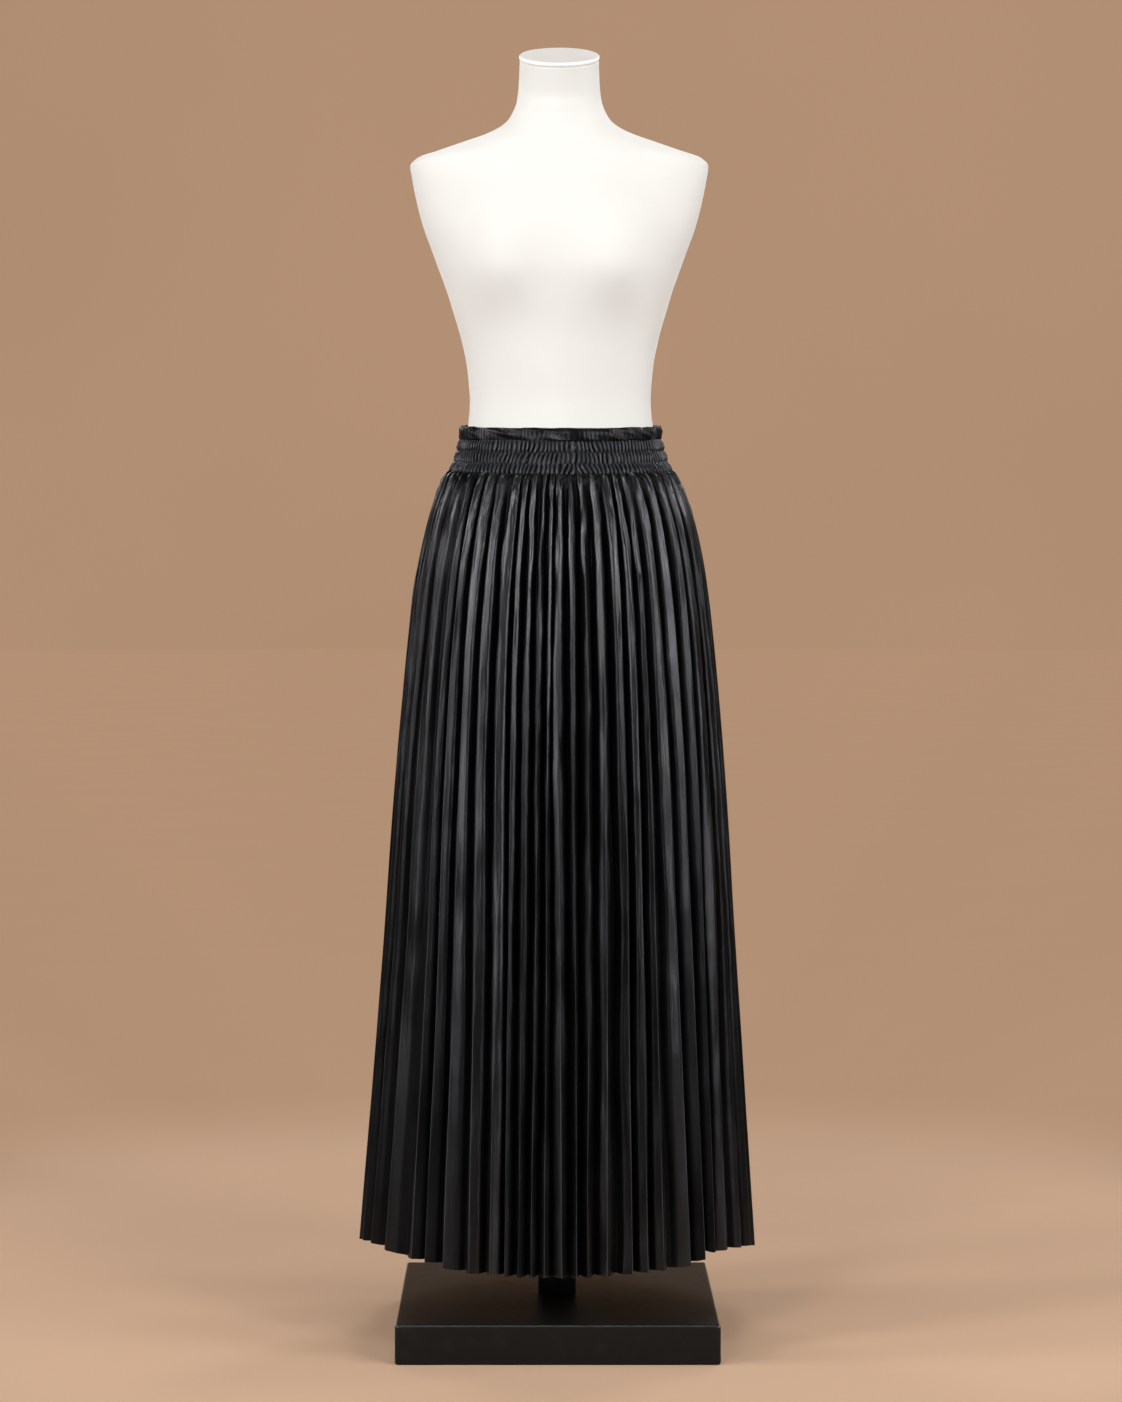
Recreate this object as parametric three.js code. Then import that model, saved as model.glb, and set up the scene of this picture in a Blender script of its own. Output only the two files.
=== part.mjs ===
import * as THREE from "three";

// A long pleated skirt with a shirred elastic waistband, on a limbless dress form
// whose pole stands in a square base. Millimetres, +Z up, front towards -Y.
// The origin is the centre of the base's underside.

// Driving dimensions of the stand
const BASE_SIDE = 383;
const BASE_HEIGHT = 47;
const BASE_CORNER_RADIUS = 4;
const BASE_EDGE_ROUND = 2;
const POLE_RADIUS = 23;
const POLE_SIDES = 32;

// Driving dimensions of the dress form
const FORM_BOTTOM = 770;
const FORM_SIDES = 40;
const CAP_RADIUS = 49.2;
const CAP_THICKNESS = 5.5;
const CAP_EDGE_ROUND = 1.5;
const CAP_TIP = 19.5;
const BUST_HEIGHT = 1297;
const BUST_SPREAD = 84;
const BUST_RISE = 19;
const BUST_WIDTH = 46;
const BUST_REACH_UP = 66;
const BUST_REACH_DOWN = 46;

// Driving dimensions of the skirt
const SEAM_GAP = 0.3;
const SEAM_BEARING = 90;
const CLOTH_THICKNESS = 1;
const PLAN_DEPTH_RATIO = 0.78;
const WAIST_SEAM = 1056.5;
const WAIST_TILT = 0.07;
const WAIST_TILT_ENDS = 850;
const HIP_HEIGHT = 825;
const HEM_HEIGHT = 104;
const HEM_POINTEDNESS = 1.8;
const PLEAT_LEG = 27;
const FOLDED_TIP = 1;
const LEG_BELLY = 0.07;
const MITRE_LIMIT = 4;
const SHALLOWEST = 0.45;
const BACK_FOLDS = 27;
const BACK_UNEVEN = 1.7;
const BACK_WAVE = 2.3;
const BACK_HEM_PHASE = 0.8;
const HOLLOW_UNEVEN = 0.08;
const HOLLOW_WAVE = 1.7;
const GATHERS = 40;
const GATHER_DEPTH = 1;
const GATHER_UNEVEN = 0.2;
const GATHER_WAVE = 2.6;

// The skirt from the waist seam to the hem: half-width over the tips of the folds, the
// plan's depth as a share of its width, and how deep the folds go at that height.
const SKIRT_ROWS = [
  { height: WAIST_SEAM - SEAM_GAP, halfWidth: 138.9, depthRatio: 0.78, foldDepth: 5 },
  { height: 1047.5, halfWidth: 146, depthRatio: 0.78, foldDepth: 8.5 },
  { height: 1022, halfWidth: 156.4, depthRatio: 0.78, foldDepth: 15 },
  { height: 985, halfWidth: 167.2, depthRatio: 0.78, foldDepth: 20 },
  { height: 930, halfWidth: 178.3, depthRatio: 0.785, foldDepth: 23 },
  { height: 850, halfWidth: 188.2, depthRatio: 0.79, foldDepth: 26 },
  { height: 700, halfWidth: 201.9, depthRatio: 0.8, foldDepth: 26.5 },
  { height: 480, halfWidth: 216.7, depthRatio: 0.81, foldDepth: 25.5 },
  { height: HEM_HEIGHT, halfWidth: 243.2, depthRatio: 0.82, foldDepth: 23.5 },
];

// How far the skirt and the form stand aside of the pole, towards the wearer's left.
const LEAN_ROWS = [
  { height: HEM_HEIGHT, aside: 0 },
  { height: 344, aside: 1.9 },
  { height: 480, aside: 3 },
  { height: 700, aside: 3.7 },
  { height: 985, aside: 5 },
  { height: 1056, aside: 4.5 },
  { height: 1110, aside: 4.2 },
  { height: 1300, aside: 3 },
  { height: 1560, aside: 2.7 },
];

// How far the hem rides up at each bearing, in front and behind.
const HEM_ROWS = [
  { bearing: -90, front: 9, back: 6 },
  { bearing: -72, front: 15.5, back: 9 },
  { bearing: -60, front: 13.5, back: 12 },
  { bearing: -50, front: 10, back: 7 },
  { bearing: -43, front: 9, back: 4 },
  { bearing: -38, front: 7, back: 5 },
  { bearing: -33, front: 2.5, back: 1 },
  { bearing: -25, front: 0.6, back: -1 },
  { bearing: -12, front: -0.5, back: 2 },
  { bearing: 6, front: 0, back: 0 },
  { bearing: 25, front: 0.5, back: -2 },
  { bearing: 40, front: 1.3, back: 4 },
  { bearing: 46.6, front: 8, back: 8 },
  { bearing: 49, front: 17, back: 10 },
  { bearing: 52, front: 12.7, back: 7 },
  { bearing: 59, front: 14, back: 11 },
  { bearing: 67, front: 11.5, back: 12 },
  { bearing: 76, front: 8, back: 9 },
  { bearing: 85, front: 2.5, back: 8 },
  { bearing: 90, front: 2, back: 7 },
];

// Front folds from the wearer's right to left: bearing of each tip from the centre
// front, in degrees, at the hip and at the hem, and where the hollow after it lies
// between this tip (0) and the next (1).
const FRONT_FOLDS = [
  { hip: -85, hem: -85, hollow: 0.5 },
  { hip: -77, hem: -77, hollow: 0.45 },
  { hip: -68.5, hem: -68.3, hollow: 0.55 },
  { hip: -58.6, hem: -58.5, hollow: 0.6 },
  { hip: -48.6, hem: -45.8, hollow: 0.5 },
  { hip: -43.8, hem: -40.5, hollow: 0.42 },
  { hip: -37.4, hem: -33.9, hollow: 0.56 },
  { hip: -30.6, hem: -25.6, hollow: 0.5 },
  { hip: -23.1, hem: -19.4, hollow: 0.45 },
  { hip: -17.6, hem: -15, hollow: 0.5 },
  { hip: -13, hem: -11.2, hollow: 0.55 },
  { hip: -8.2, hem: -7.5, hollow: 0.5 },
  { hip: -4.9, hem: -3.8, hollow: 0.5 },
  { hip: -1.2, hem: 1, hollow: 0.55 },
  { hip: 4.4, hem: 5, hollow: 0.5 },
  { hip: 9.4, hem: 8.4, hollow: 0.45 },
  { hip: 15.6, hem: 13.8, hollow: 0.5 },
  { hip: 22.8, hem: 21.3, hollow: 0.45 },
  { hip: 27.7, hem: 26.2, hollow: 0.5 },
  { hip: 32.6, hem: 31.2, hollow: 0.58 },
  { hip: 39.8, hem: 40.6, hollow: 0.5 },
  { hip: 47.5, hem: 46.6, hollow: 0.48 },
  { hip: 55.5, hem: 51.2, hollow: 0.5 },
  { hip: 63.4, hem: 56.4, hollow: 0.55 },
  { hip: 71.4, hem: 66, hollow: 0.5 },
  { hip: 78.4, hem: 76.5, hollow: 0.45 },
  { hip: 85.5, hem: 85.5, hollow: 0.5 },
];

// The waistband's outside from the waist seam to its top edge: three shirred puffs
// between stitched rows, and a plain elastic tunnel above them. Gather is the share
// of the full gather depth that shows at that height.
const BAND_OUTSIDE = [
  { height: WAIST_SEAM, halfWidth: 136.2, gather: 0.7 },
  { height: 1061.5, halfWidth: 135, gather: 1 },
  { height: 1068.3, halfWidth: 130.2, gather: 0.5 },
  { height: 1074.8, halfWidth: 129.8, gather: 1 },
  { height: 1081.2, halfWidth: 126, gather: 0.5 },
  { height: 1088, halfWidth: 126.4, gather: 1 },
  { height: 1094.6, halfWidth: 123.6, gather: 0.5 },
  { height: 1100, halfWidth: 124.8, gather: 0.45 },
  { height: 1108, halfWidth: 124.5, gather: 0.35 },
  { height: 1110.5, halfWidth: 123.4, gather: 0 },
];

const BAND_INSIDE = [
  { height: 1110.5, halfWidth: 121.8 },
  { height: 1094.6, halfWidth: 121.4 },
  { height: 1077, halfWidth: 124.8 },
  { height: WAIST_SEAM, halfWidth: 132 },
];

// The dress form from the neck down: half-width, depth before and behind the centre
// line, the centre line's own place in depth, and how far the ring tips forwards.
const FORM_ROWS = [
  { height: 1558.4, halfWidth: 48.5, front: 45, back: 45, centre: -12, tip: CAP_TIP },
  { height: 1535, halfWidth: 49.3, front: 47, back: 47.5, centre: -4, tip: 16.5 },
  { height: 1521, halfWidth: 50.4, front: 49.5, back: 51, centre: 1, tip: 14 },
  { height: 1507, halfWidth: 52.8, front: 54, back: 57, centre: 4, tip: 12 },
  { height: 1495.8, halfWidth: 57.5, front: 57, back: 61, centre: 6, tip: 9 },
  { height: 1486.8, halfWidth: 63, front: 59, back: 65, centre: 6, tip: 7 },
  { height: 1477.8, halfWidth: 74, front: 61, back: 69, centre: 6, tip: 5 },
  { height: 1468.8, halfWidth: 92, front: 64, back: 73, centre: 5, tip: 3 },
  { height: 1459.6, halfWidth: 117, front: 67, back: 76, centre: 4, tip: 1 },
  { height: 1448.6, halfWidth: 148, front: 70, back: 78, centre: 3, tip: 0 },
  { height: 1439, halfWidth: 175, front: 73, back: 80, centre: 2, tip: 0 },
  { height: 1429.5, halfWidth: 183, front: 75, back: 81, centre: 1, tip: 0 },
  { height: 1412, halfWidth: 180.5, front: 80, back: 83, centre: 0, tip: 0 },
  { height: 1380, halfWidth: 174, front: 87, back: 88, centre: 0, tip: 0 },
  { height: 1351, halfWidth: 166, front: 93, back: 91, centre: 0, tip: 0 },
  { height: 1327, halfWidth: 157.2, front: 96, back: 91, centre: 0, tip: 0 },
  { height: 1302, halfWidth: 148.1, front: 97, back: 90, centre: 0, tip: 0 },
  { height: 1277, halfWidth: 139, front: 95, back: 88, centre: 0, tip: 0 },
  { height: 1253, halfWidth: 131.6, front: 92, back: 85, centre: 0, tip: 0 },
  { height: 1216, halfWidth: 121, front: 87, back: 78, centre: 0, tip: 0 },
  { height: 1180, halfWidth: 114, front: 84, back: 77, centre: 0, tip: 0 },
  { height: 1140, halfWidth: 111, front: 82, back: 80, centre: 0, tip: 0 },
  { height: 1110, halfWidth: 113.6, front: 84, back: 84, centre: 0, tip: 0 },
  { height: 1080, halfWidth: 121.4, front: 90, back: 91, centre: 0, tip: 0 },
  { height: 1056, halfWidth: 131, front: 97, back: 98.5, centre: 0, tip: 0 },
  { height: 1020, halfWidth: 136, front: 100, back: 102, centre: 0, tip: 0 },
  { height: 985, halfWidth: 142.3, front: 104, back: 106, centre: 0, tip: 0 },
  { height: 930, halfWidth: 150.8, front: 108, back: 112, centre: 0, tip: 0 },
  { height: 860, halfWidth: 157.3, front: 110.5, back: 116.5, centre: 0, tip: 0 },
  { height: 800, halfWidth: 156, front: 109, back: 114, centre: 0, tip: 0 },
  { height: 776, halfWidth: 153, front: 106, back: 112, centre: 0, tip: 0 },
  { height: FORM_BOTTOM, halfWidth: 147, front: 100, back: 106, centre: 0, tip: 0 },
];

const radians = THREE.MathUtils.degToRad;
const mix = THREE.MathUtils.lerp;

// Materials
const cloth = new THREE.MeshStandardMaterial({ color: 0x111113, roughness: 0.42, metalness: 0 });
const cover = new THREE.MeshStandardMaterial({ color: 0xebe6dd, roughness: 0.85, metalness: 0 });
const capPaint = new THREE.MeshStandardMaterial({ color: 0xe6e2da, roughness: 0.5, metalness: 0 });
const standPaint = new THREE.MeshStandardMaterial({ color: 0x191613, roughness: 0.4, metalness: 0.1 });

// Front lies towards -Y and back towards +Y.
const FRONT = -1;
const BACK = 1;

// The back's folds are as uneven as the front's.
const BACK_FOLD_ROWS = Array.from({ length: BACK_FOLDS }, (_, i) => {
  const even = SEAM_BEARING * ((2 * i + 1) / BACK_FOLDS - 1);
  const hip = even + BACK_UNEVEN * Math.sin(BACK_WAVE * i);
  const hem = even + BACK_UNEVEN * Math.sin(BACK_WAVE * i + BACK_HEM_PHASE);
  return { hip, hem, hollow: 0.5 + HOLLOW_UNEVEN * Math.sin(HOLLOW_WAVE * i) };
});

// One column of a table at a place between its rows, which run upwards by another column.
function between(rows, by, column, place) {
  const above = rows.findIndex((row) => row[by] >= place);
  if (above < 1) {
    return rows.at(above)[column];
  }
  const [low, high] = rows.slice(above - 1, above + 1);
  return mix(low[column], high[column], (place - low[by]) / (high[by] - low[by]));
}

function leanAside(height) {
  return between(LEAN_ROWS, "height", "aside", height);
}

// Triangles that fill one closed loop, turning the way the loop runs or the other way.
// Flatten gives a point's place in the plane of that loop.
function fillLoop(loop, flatten, firstIndex, alongLoop) {
  const outline = loop.map((point) => new THREE.Vector2(...flatten(point)));
  const faces = THREE.ShapeUtils.triangulateShape(outline, []);
  const areas = faces.map((face) => THREE.ShapeUtils.area(face.map((corner) => outline[corner])));
  const filled = areas.reduce((sum, area) => sum + area, 0);
  const turnsAlong = filled * THREE.ShapeUtils.area(outline) > 0;
  return faces.map(([a, b, c]) => {
    const corners = turnsAlong === alongLoop ? [a, b, c] : [a, c, b];
    return corners.map((corner) => corner + firstIndex);
  });
}

function signedVolume(points, faces) {
  const cross = new THREE.Vector3();
  const parts = faces.map(([a, b, c]) => points[a].dot(cross.crossVectors(points[b], points[c])));
  return parts.reduce((sum, part) => sum + part, 0) / 6;
}

// A closed solid through a stack of loops that all have the same number of points.
function solidThroughLoops(loops, flatten) {
  const count = loops[0].length;
  const last = loops.length - 1;
  const points = loops.flat();
  const faces = [];
  for (let row = 0; row < last; row += 1) {
    for (let i = 0; i < count; i += 1) {
      const a = row * count + i;
      const b = row * count + ((i + 1) % count);
      faces.push([a, b, b + count], [a, b + count, a + count]);
    }
  }
  faces.push(...fillLoop(loops[0], flatten, 0, false));
  faces.push(...fillLoop(loops[last], flatten, last * count, true));
  const outwards = signedVolume(points, faces) > 0;
  const index = faces.flatMap(([a, b, c]) => (outwards ? [a, b, c] : [a, c, b]));
  const geometry = new THREE.BufferGeometry().setFromPoints(points);
  geometry.setIndex(index);
  geometry.computeVertexNormals();
  return geometry;
}

function named(name, geometry, material) {
  const mesh = new THREE.Mesh(geometry, material);
  mesh.name = name;
  return mesh;
}

// A point of the garment's plan, so far inside the outline of the given half-width. A
// roundness of 2 is an oval, and less is more pointed towards the side seams.
function planPoint(bearing, halfWidth, inset, depthRatio = PLAN_DEPTH_RATIO, roundness = 2) {
  const across = Math.sin(radians(bearing));
  const ahead = Math.max(1 - Math.abs(across) ** roundness, 0) ** (1 / roundness);
  return new THREE.Vector2((halfWidth - inset) * across, (halfWidth * depthRatio - inset) * ahead);
}

// How far up a row of the skirt is, from the hem (0) to the hip (1).
function riseOf(row) {
  return THREE.MathUtils.clamp((row.height - HEM_HEIGHT) / (HIP_HEIGHT - HEM_HEIGHT), 0, 1);
}

function skirtPoint(row, bearing, inset) {
  return planPoint(bearing, row.halfWidth, inset, row.depthRatio, mix(HEM_POINTEDNESS, 2, riseOf(row)));
}

// Stands a plan point up at its height. The waist leans with the body, lower in front,
// and the two halves part at the side seams.
function standUp(plan, height, side) {
  const y = side * (plan.y + SEAM_GAP / 2);
  const reach = (height - WAIST_TILT_ENDS) / (WAIST_SEAM - WAIST_TILT_ENDS);
  const lean = WAIST_TILT * THREE.MathUtils.clamp(reach, 0, 1);
  return new THREE.Vector3(plan.x + leanAside(height), y, height + lean * y);
}

// A line moved sideways by a distance, mitred at its corners and cut square to the
// side seam at its two ends.
function moveLine(line, distance) {
  const ways = line.slice(1).map((point, i) => point.clone().sub(line[i]).normalize());
  const normals = ways.map((way) => new THREE.Vector2(way.y, -way.x));
  return line.map((point, i) => {
    const before = normals[Math.max(i - 1, 0)];
    const after = normals[Math.min(i, normals.length - 1)];
    if (before === after) {
      return new THREE.Vector2(point.x + distance / after.x, point.y);
    }
    const middle = before.clone().add(after).normalize();
    const mitre = Math.min(1 / middle.dot(after), MITRE_LIMIT);
    return point.clone().addScaledVector(middle, distance * mitre);
  });
}

// How deep each hollow goes, as a share of the full depth: the folds are all cut from
// the same width of cloth, so one that stands wider open is shallower.
function hollowShares(folds) {
  const hem = SKIRT_ROWS[SKIRT_ROWS.length - 1];
  const bearings = folds.map((fold) => fold.hem);
  const mirrored = [-2 * SEAM_BEARING - bearings[0], ...bearings, 2 * SEAM_BEARING - bearings.at(-1)];
  const tips = mirrored.map((bearing) => skirtPoint(hem, bearing, 0));
  return tips.slice(1).map((tip, i) => {
    const halfOpen = tip.distanceTo(tips[i]) / 2;
    return Math.sqrt(Math.max(1 - (halfOpen / PLEAT_LEG) ** 2, SHALLOWEST ** 2));
  });
}

// The pleated line of one panel at one height, from one side seam to the other: for
// each fold a leg out, the tip, a leg in and the hollow, with the legs bellied a little.
function pleatedLine(row, folds, shares) {
  const tips = folds.map((fold) => mix(fold.hem, fold.hip, riseOf(row)));
  const hollows = folds.map((fold, i) => mix(tips[i], tips[i + 1] ?? SEAM_BEARING, fold.hollow));
  hollows[hollows.length - 1] = SEAM_BEARING;
  hollows.unshift(-SEAM_BEARING);
  const insets = shares.map((share) => FOLDED_TIP + share * row.foldDepth);
  const place = (bearing, inset) => skirtPoint(row, bearing, inset);
  const leg = (tip, hollow, inset) => {
    const half = (FOLDED_TIP + inset) / 2 - LEG_BELLY * (inset - FOLDED_TIP);
    return place((tip + hollow) / 2, half);
  };
  const line = [place(hollows[0], insets[0])];
  tips.forEach((tip, i) => {
    line.push(leg(tip, hollows[i], insets[i]));
    line.push(place(tip, FOLDED_TIP));
    line.push(leg(tip, hollows[i + 1], insets[i + 1]));
    line.push(place(hollows[i + 1], insets[i + 1]));
  });
  return line;
}

function hemLift(row, across, side) {
  if (row.height !== HEM_HEIGHT) {
    return 0;
  }
  const bearing = THREE.MathUtils.radToDeg(Math.asin(across / row.halfWidth));
  return between(HEM_ROWS, "bearing", side === FRONT ? "front" : "back", bearing);
}

function skirtPanel(name, side, folds) {
  const shares = hollowShares(folds);
  const loops = SKIRT_ROWS.map((row) => {
    const line = pleatedLine(row, folds, shares);
    const outside = moveLine(line, CLOTH_THICKNESS / 2);
    const inside = moveLine(line, -CLOTH_THICKNESS / 2);
    const outline = [...outside, ...inside.reverse()];
    return outline.map((plan) => standUp(plan, row.height + hemLift(row, plan.x, side), side));
  });
  return named(name, solidThroughLoops(loops, (point) => [point.x, point.y]), cloth);
}

// Half of the waistband: a plain inside, and an outside pinched into gathers that
// swell between the stitched rows.
function waistbandHalf(name, side) {
  const loops = Array.from({ length: 2 * GATHERS + 1 }, (_, i) => {
    const bearing = SEAM_BEARING * (i / GATHERS - 1);
    const uneven = 1 - GATHER_UNEVEN + GATHER_UNEVEN * Math.sin(GATHER_WAVE * i);
    const pinch = i % 2 ? GATHER_DEPTH * uneven : 0;
    const outside = BAND_OUTSIDE.map((row) => {
      const plan = planPoint(bearing, row.halfWidth, pinch * row.gather);
      return standUp(plan, row.height, side);
    });
    const inside = BAND_INSIDE.map((row) => standUp(planPoint(bearing, row.halfWidth, 0), row.height, side));
    return [...outside, ...inside];
  });
  return named(name, solidThroughLoops(loops, (point) => [point.x, point.z]), cloth);
}

// How far the soft bust stands out of the front at a place.
function bustSwell(across, height) {
  const reach = height > BUST_HEIGHT ? BUST_REACH_UP : BUST_REACH_DOWN;
  const side = (Math.abs(across) - BUST_SPREAD) / BUST_WIDTH;
  const rise = (height - BUST_HEIGHT) / reach;
  return BUST_RISE * Math.exp(-side * side - rise * rise);
}

function formRing(row) {
  const slope = Math.tan(radians(row.tip));
  return Array.from({ length: FORM_SIDES }, (_, i) => {
    const turn = (2 * Math.PI * i) / FORM_SIDES;
    const across = row.halfWidth * Math.sin(turn);
    const ahead = Math.cos(turn);
    const depth = ahead > 0 ? row.front + bustSwell(across, row.height) : row.back;
    const y = -depth * ahead;
    return new THREE.Vector3(across + leanAside(row.height), row.centre + y, row.height + y * slope);
  });
}

function formBody() {
  const rings = FORM_ROWS.map(formRing);
  return named("form_body", solidThroughLoops(rings, (point) => [point.x, point.y]), cover);
}

// The plate that closes the neck, tipped forwards with it.
function neckCap() {
  const neck = FORM_ROWS[0];
  const profile = [
    new THREE.Vector2(0, 0),
    new THREE.Vector2(CAP_RADIUS - CAP_EDGE_ROUND, 0),
    new THREE.Vector2(CAP_RADIUS, CAP_EDGE_ROUND),
    new THREE.Vector2(CAP_RADIUS, CAP_THICKNESS - CAP_EDGE_ROUND),
    new THREE.Vector2(CAP_RADIUS - CAP_EDGE_ROUND, CAP_THICKNESS),
    new THREE.Vector2(0, CAP_THICKNESS),
  ];
  const mesh = named("neck_cap", new THREE.LatheGeometry(profile, FORM_SIDES), capPaint);
  const up = new THREE.Vector3(0, -Math.sin(radians(CAP_TIP)), Math.cos(radians(CAP_TIP)));
  mesh.rotation.x = radians(90 + CAP_TIP);
  mesh.position.set(leanAside(neck.height), neck.centre, neck.height).addScaledVector(up, SEAM_GAP);
  return mesh;
}

function standPole() {
  const low = BASE_HEIGHT + SEAM_GAP;
  const high = FORM_BOTTOM - SEAM_GAP;
  const geometry = new THREE.CylinderGeometry(POLE_RADIUS, POLE_RADIUS, high - low, POLE_SIDES);
  const mesh = named("stand_pole", geometry, standPaint);
  mesh.rotation.x = Math.PI / 2;
  mesh.position.z = (low + high) / 2;
  return mesh;
}

function standBase() {
  const half = BASE_SIDE / 2;
  const straight = half - BASE_CORNER_RADIUS;
  const outline = new THREE.Shape();
  outline.absarc(straight, straight, BASE_CORNER_RADIUS, 0, Math.PI / 2);
  outline.absarc(-straight, straight, BASE_CORNER_RADIUS, Math.PI / 2, Math.PI);
  outline.absarc(-straight, -straight, BASE_CORNER_RADIUS, Math.PI, 1.5 * Math.PI);
  outline.absarc(straight, -straight, BASE_CORNER_RADIUS, 1.5 * Math.PI, 2 * Math.PI);
  const geometry = new THREE.ExtrudeGeometry(outline, {
    depth: BASE_HEIGHT - 2 * BASE_EDGE_ROUND,
    curveSegments: 3,
    bevelThickness: BASE_EDGE_ROUND,
    bevelSize: BASE_EDGE_ROUND,
    bevelOffset: -BASE_EDGE_ROUND,
    bevelSegments: 2,
  });
  const mesh = named("stand_base", geometry, standPaint);
  mesh.position.z = BASE_EDGE_ROUND;
  return mesh;
}

const stand = new THREE.Group();
stand.add(standBase(), standPole(), formBody(), neckCap());

const skirt = new THREE.Group();
skirt.add(skirtPanel("skirt_front", FRONT, FRONT_FOLDS), skirtPanel("skirt_back", BACK, BACK_FOLD_ROWS));
skirt.add(waistbandHalf("waistband_front", FRONT), waistbandHalf("waistband_back", BACK));

const dressed = new THREE.Group();
dressed.add(stand, skirt);

export default dressed;
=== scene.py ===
# %% [markdown]
# # A pleated maxi skirt on a dress form
# This lesson dresses a plain solid model of a skirt, its dress form and its stand in
# fine cloth, covers and paint. Its tables repeat the solids' places and sizes, so what is
# made here lies on them, and is right from any side and not only from the front.

# %% Load the frame
import math

import bpy
import numpy as np
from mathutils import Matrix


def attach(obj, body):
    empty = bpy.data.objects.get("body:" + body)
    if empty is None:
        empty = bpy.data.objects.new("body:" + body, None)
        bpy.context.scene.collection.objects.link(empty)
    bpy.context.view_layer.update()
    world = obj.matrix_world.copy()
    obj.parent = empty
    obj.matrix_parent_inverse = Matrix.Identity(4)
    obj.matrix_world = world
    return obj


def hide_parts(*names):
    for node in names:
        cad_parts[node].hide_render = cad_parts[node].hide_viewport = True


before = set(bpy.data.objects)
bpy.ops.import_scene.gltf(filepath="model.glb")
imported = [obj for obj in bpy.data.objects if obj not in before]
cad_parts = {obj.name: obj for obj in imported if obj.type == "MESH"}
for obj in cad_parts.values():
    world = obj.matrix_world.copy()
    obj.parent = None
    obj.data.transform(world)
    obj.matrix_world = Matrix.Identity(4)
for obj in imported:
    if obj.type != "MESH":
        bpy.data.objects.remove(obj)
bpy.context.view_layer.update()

# %% [markdown]
# ## The camera
# The picture was taken from a little over four metres away, at about waist height. Its
# upright lines are parallel, so the camera was level and its lens was shifted down a
# little, to frame the whole figure. The sizes of the square base, near edge against far
# edge, give the distance, and the horizon's height in the picture gives the shift.

# %% Place the camera
PICTURE_WIDTH, PICTURE_HEIGHT = 1122, 1402
FOCAL_PIXELS = 3530
HORIZON_PIXEL = 575
VANISHING_PIXEL = 539
CAMERA_PLACE = (-0.0221, -4.334, 0.9276)

camera_data = bpy.data.cameras.new("camera")
camera_data.sensor_width = 36
camera_data.lens = camera_data.sensor_width * FOCAL_PIXELS / PICTURE_HEIGHT
camera_data.shift_x = (PICTURE_WIDTH / 2 - VANISHING_PIXEL) / PICTURE_HEIGHT
camera_data.shift_y = (HORIZON_PIXEL - PICTURE_HEIGHT / 2) / PICTURE_HEIGHT
camera = bpy.data.objects.new("camera", camera_data)
bpy.context.collection.objects.link(camera)
camera.location = CAMERA_PLACE
camera.rotation_euler = (math.pi / 2, 0, 0)
bpy.context.scene.camera = camera
print("lens", round(camera_data.lens, 1), "mm, shifted", round(camera_data.shift_y, 3))

# %% [markdown]
# ## Noise that comes back the same
# No cloth hangs evenly. Soft noise from a seeded table gives every unevenness here, so
# the same one comes back each time the lesson is run. A smooth step fades a form in or
# out along a length, where a straight ramp would leave a crease.

# %% Soft noise and smooth steps
def soft_noise(across, down, seed):
    """Smooth noise from -1 to 1, with swells about one unit wide."""
    table = np.random.default_rng(seed).uniform(-1, 1, (64, 64))
    column, row = np.floor(across).astype(int), np.floor(down).astype(int)
    share_x, share_y = across - column, down - row
    share_x = share_x * share_x * (3 - 2 * share_x)
    share_y = share_y * share_y * (3 - 2 * share_y)
    here = table[column % 64, row % 64]
    beside = table[(column + 1) % 64, row % 64]
    under = table[column % 64, (row + 1) % 64]
    corner = table[(column + 1) % 64, (row + 1) % 64]
    top = here * (1 - share_x) + beside * share_x
    bottom = under * (1 - share_x) + corner * share_x
    return top * (1 - share_y) + bottom * share_y


def smooth_step(value, low, high):
    """Rises smoothly from 0 at low to 1 at high."""
    share = np.clip((value - low) / (high - low), 0, 1)
    return share * share * (3 - 2 * share)


print("noise at one place is always", soft_noise(np.array([0.4]), np.array([0.7]), seed=5).round(4))

# %% [markdown]
# ## Tables of sizes
# A maker writes a garment down as a table: at this height it is so wide and so deep.
# Each table here has one line of names and then a row for each section or fold. Between
# the rows the sizes follow straight lines, or a smooth curve that never overshoots.

# %% Reading a table
def table(names, *rows):
    """Rows of values under the names of their columns."""
    return [dict(zip(names.split(), row)) for row in rows]


def column_of(rows, name):
    """One named column of a table, as an array."""
    return np.array([row[name] for row in rows], float)


def along(rows, heights, name):
    """A table's column read at other heights, by straight lines between its rows."""
    known = column_of(rows, "height")
    order = np.argsort(known)
    return np.interp(heights, known[order], column_of(rows, name)[order])


def smooth_along(rows, heights, name):
    """A table's column read at other heights, by a smooth curve that never overshoots."""
    known = column_of(rows, "height")
    order = np.argsort(known)
    x, y = known[order], column_of(rows, name)[order]
    step, slope = np.diff(x), np.diff(y) / np.diff(x)
    same_way = slope[1:] * slope[:-1] > 0
    weight_a, weight_b = 2 * step[1:] + step[:-1], step[1:] + 2 * step[:-1]
    with np.errstate(divide="ignore", invalid="ignore"):
        mean = (weight_a + weight_b) / (weight_a / slope[:-1] + weight_b / slope[1:])
    lean = np.concatenate([[slope[0]], np.where(same_way, mean, 0), [slope[-1]]])
    i = np.clip(np.searchsorted(x, heights) - 1, 0, len(x) - 2)
    t = (heights - x[i]) / step[i]
    start = (1 + 2 * t) * (1 - t) ** 2 * y[i] + t * (1 - t) ** 2 * step[i] * lean[i]
    end = t * t * (3 - 2 * t) * y[i + 1] - t * t * (1 - t) * step[i] * lean[i + 1]
    return start + end


print("a table row reads", table("height half_width", (100, 20))[0])

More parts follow.
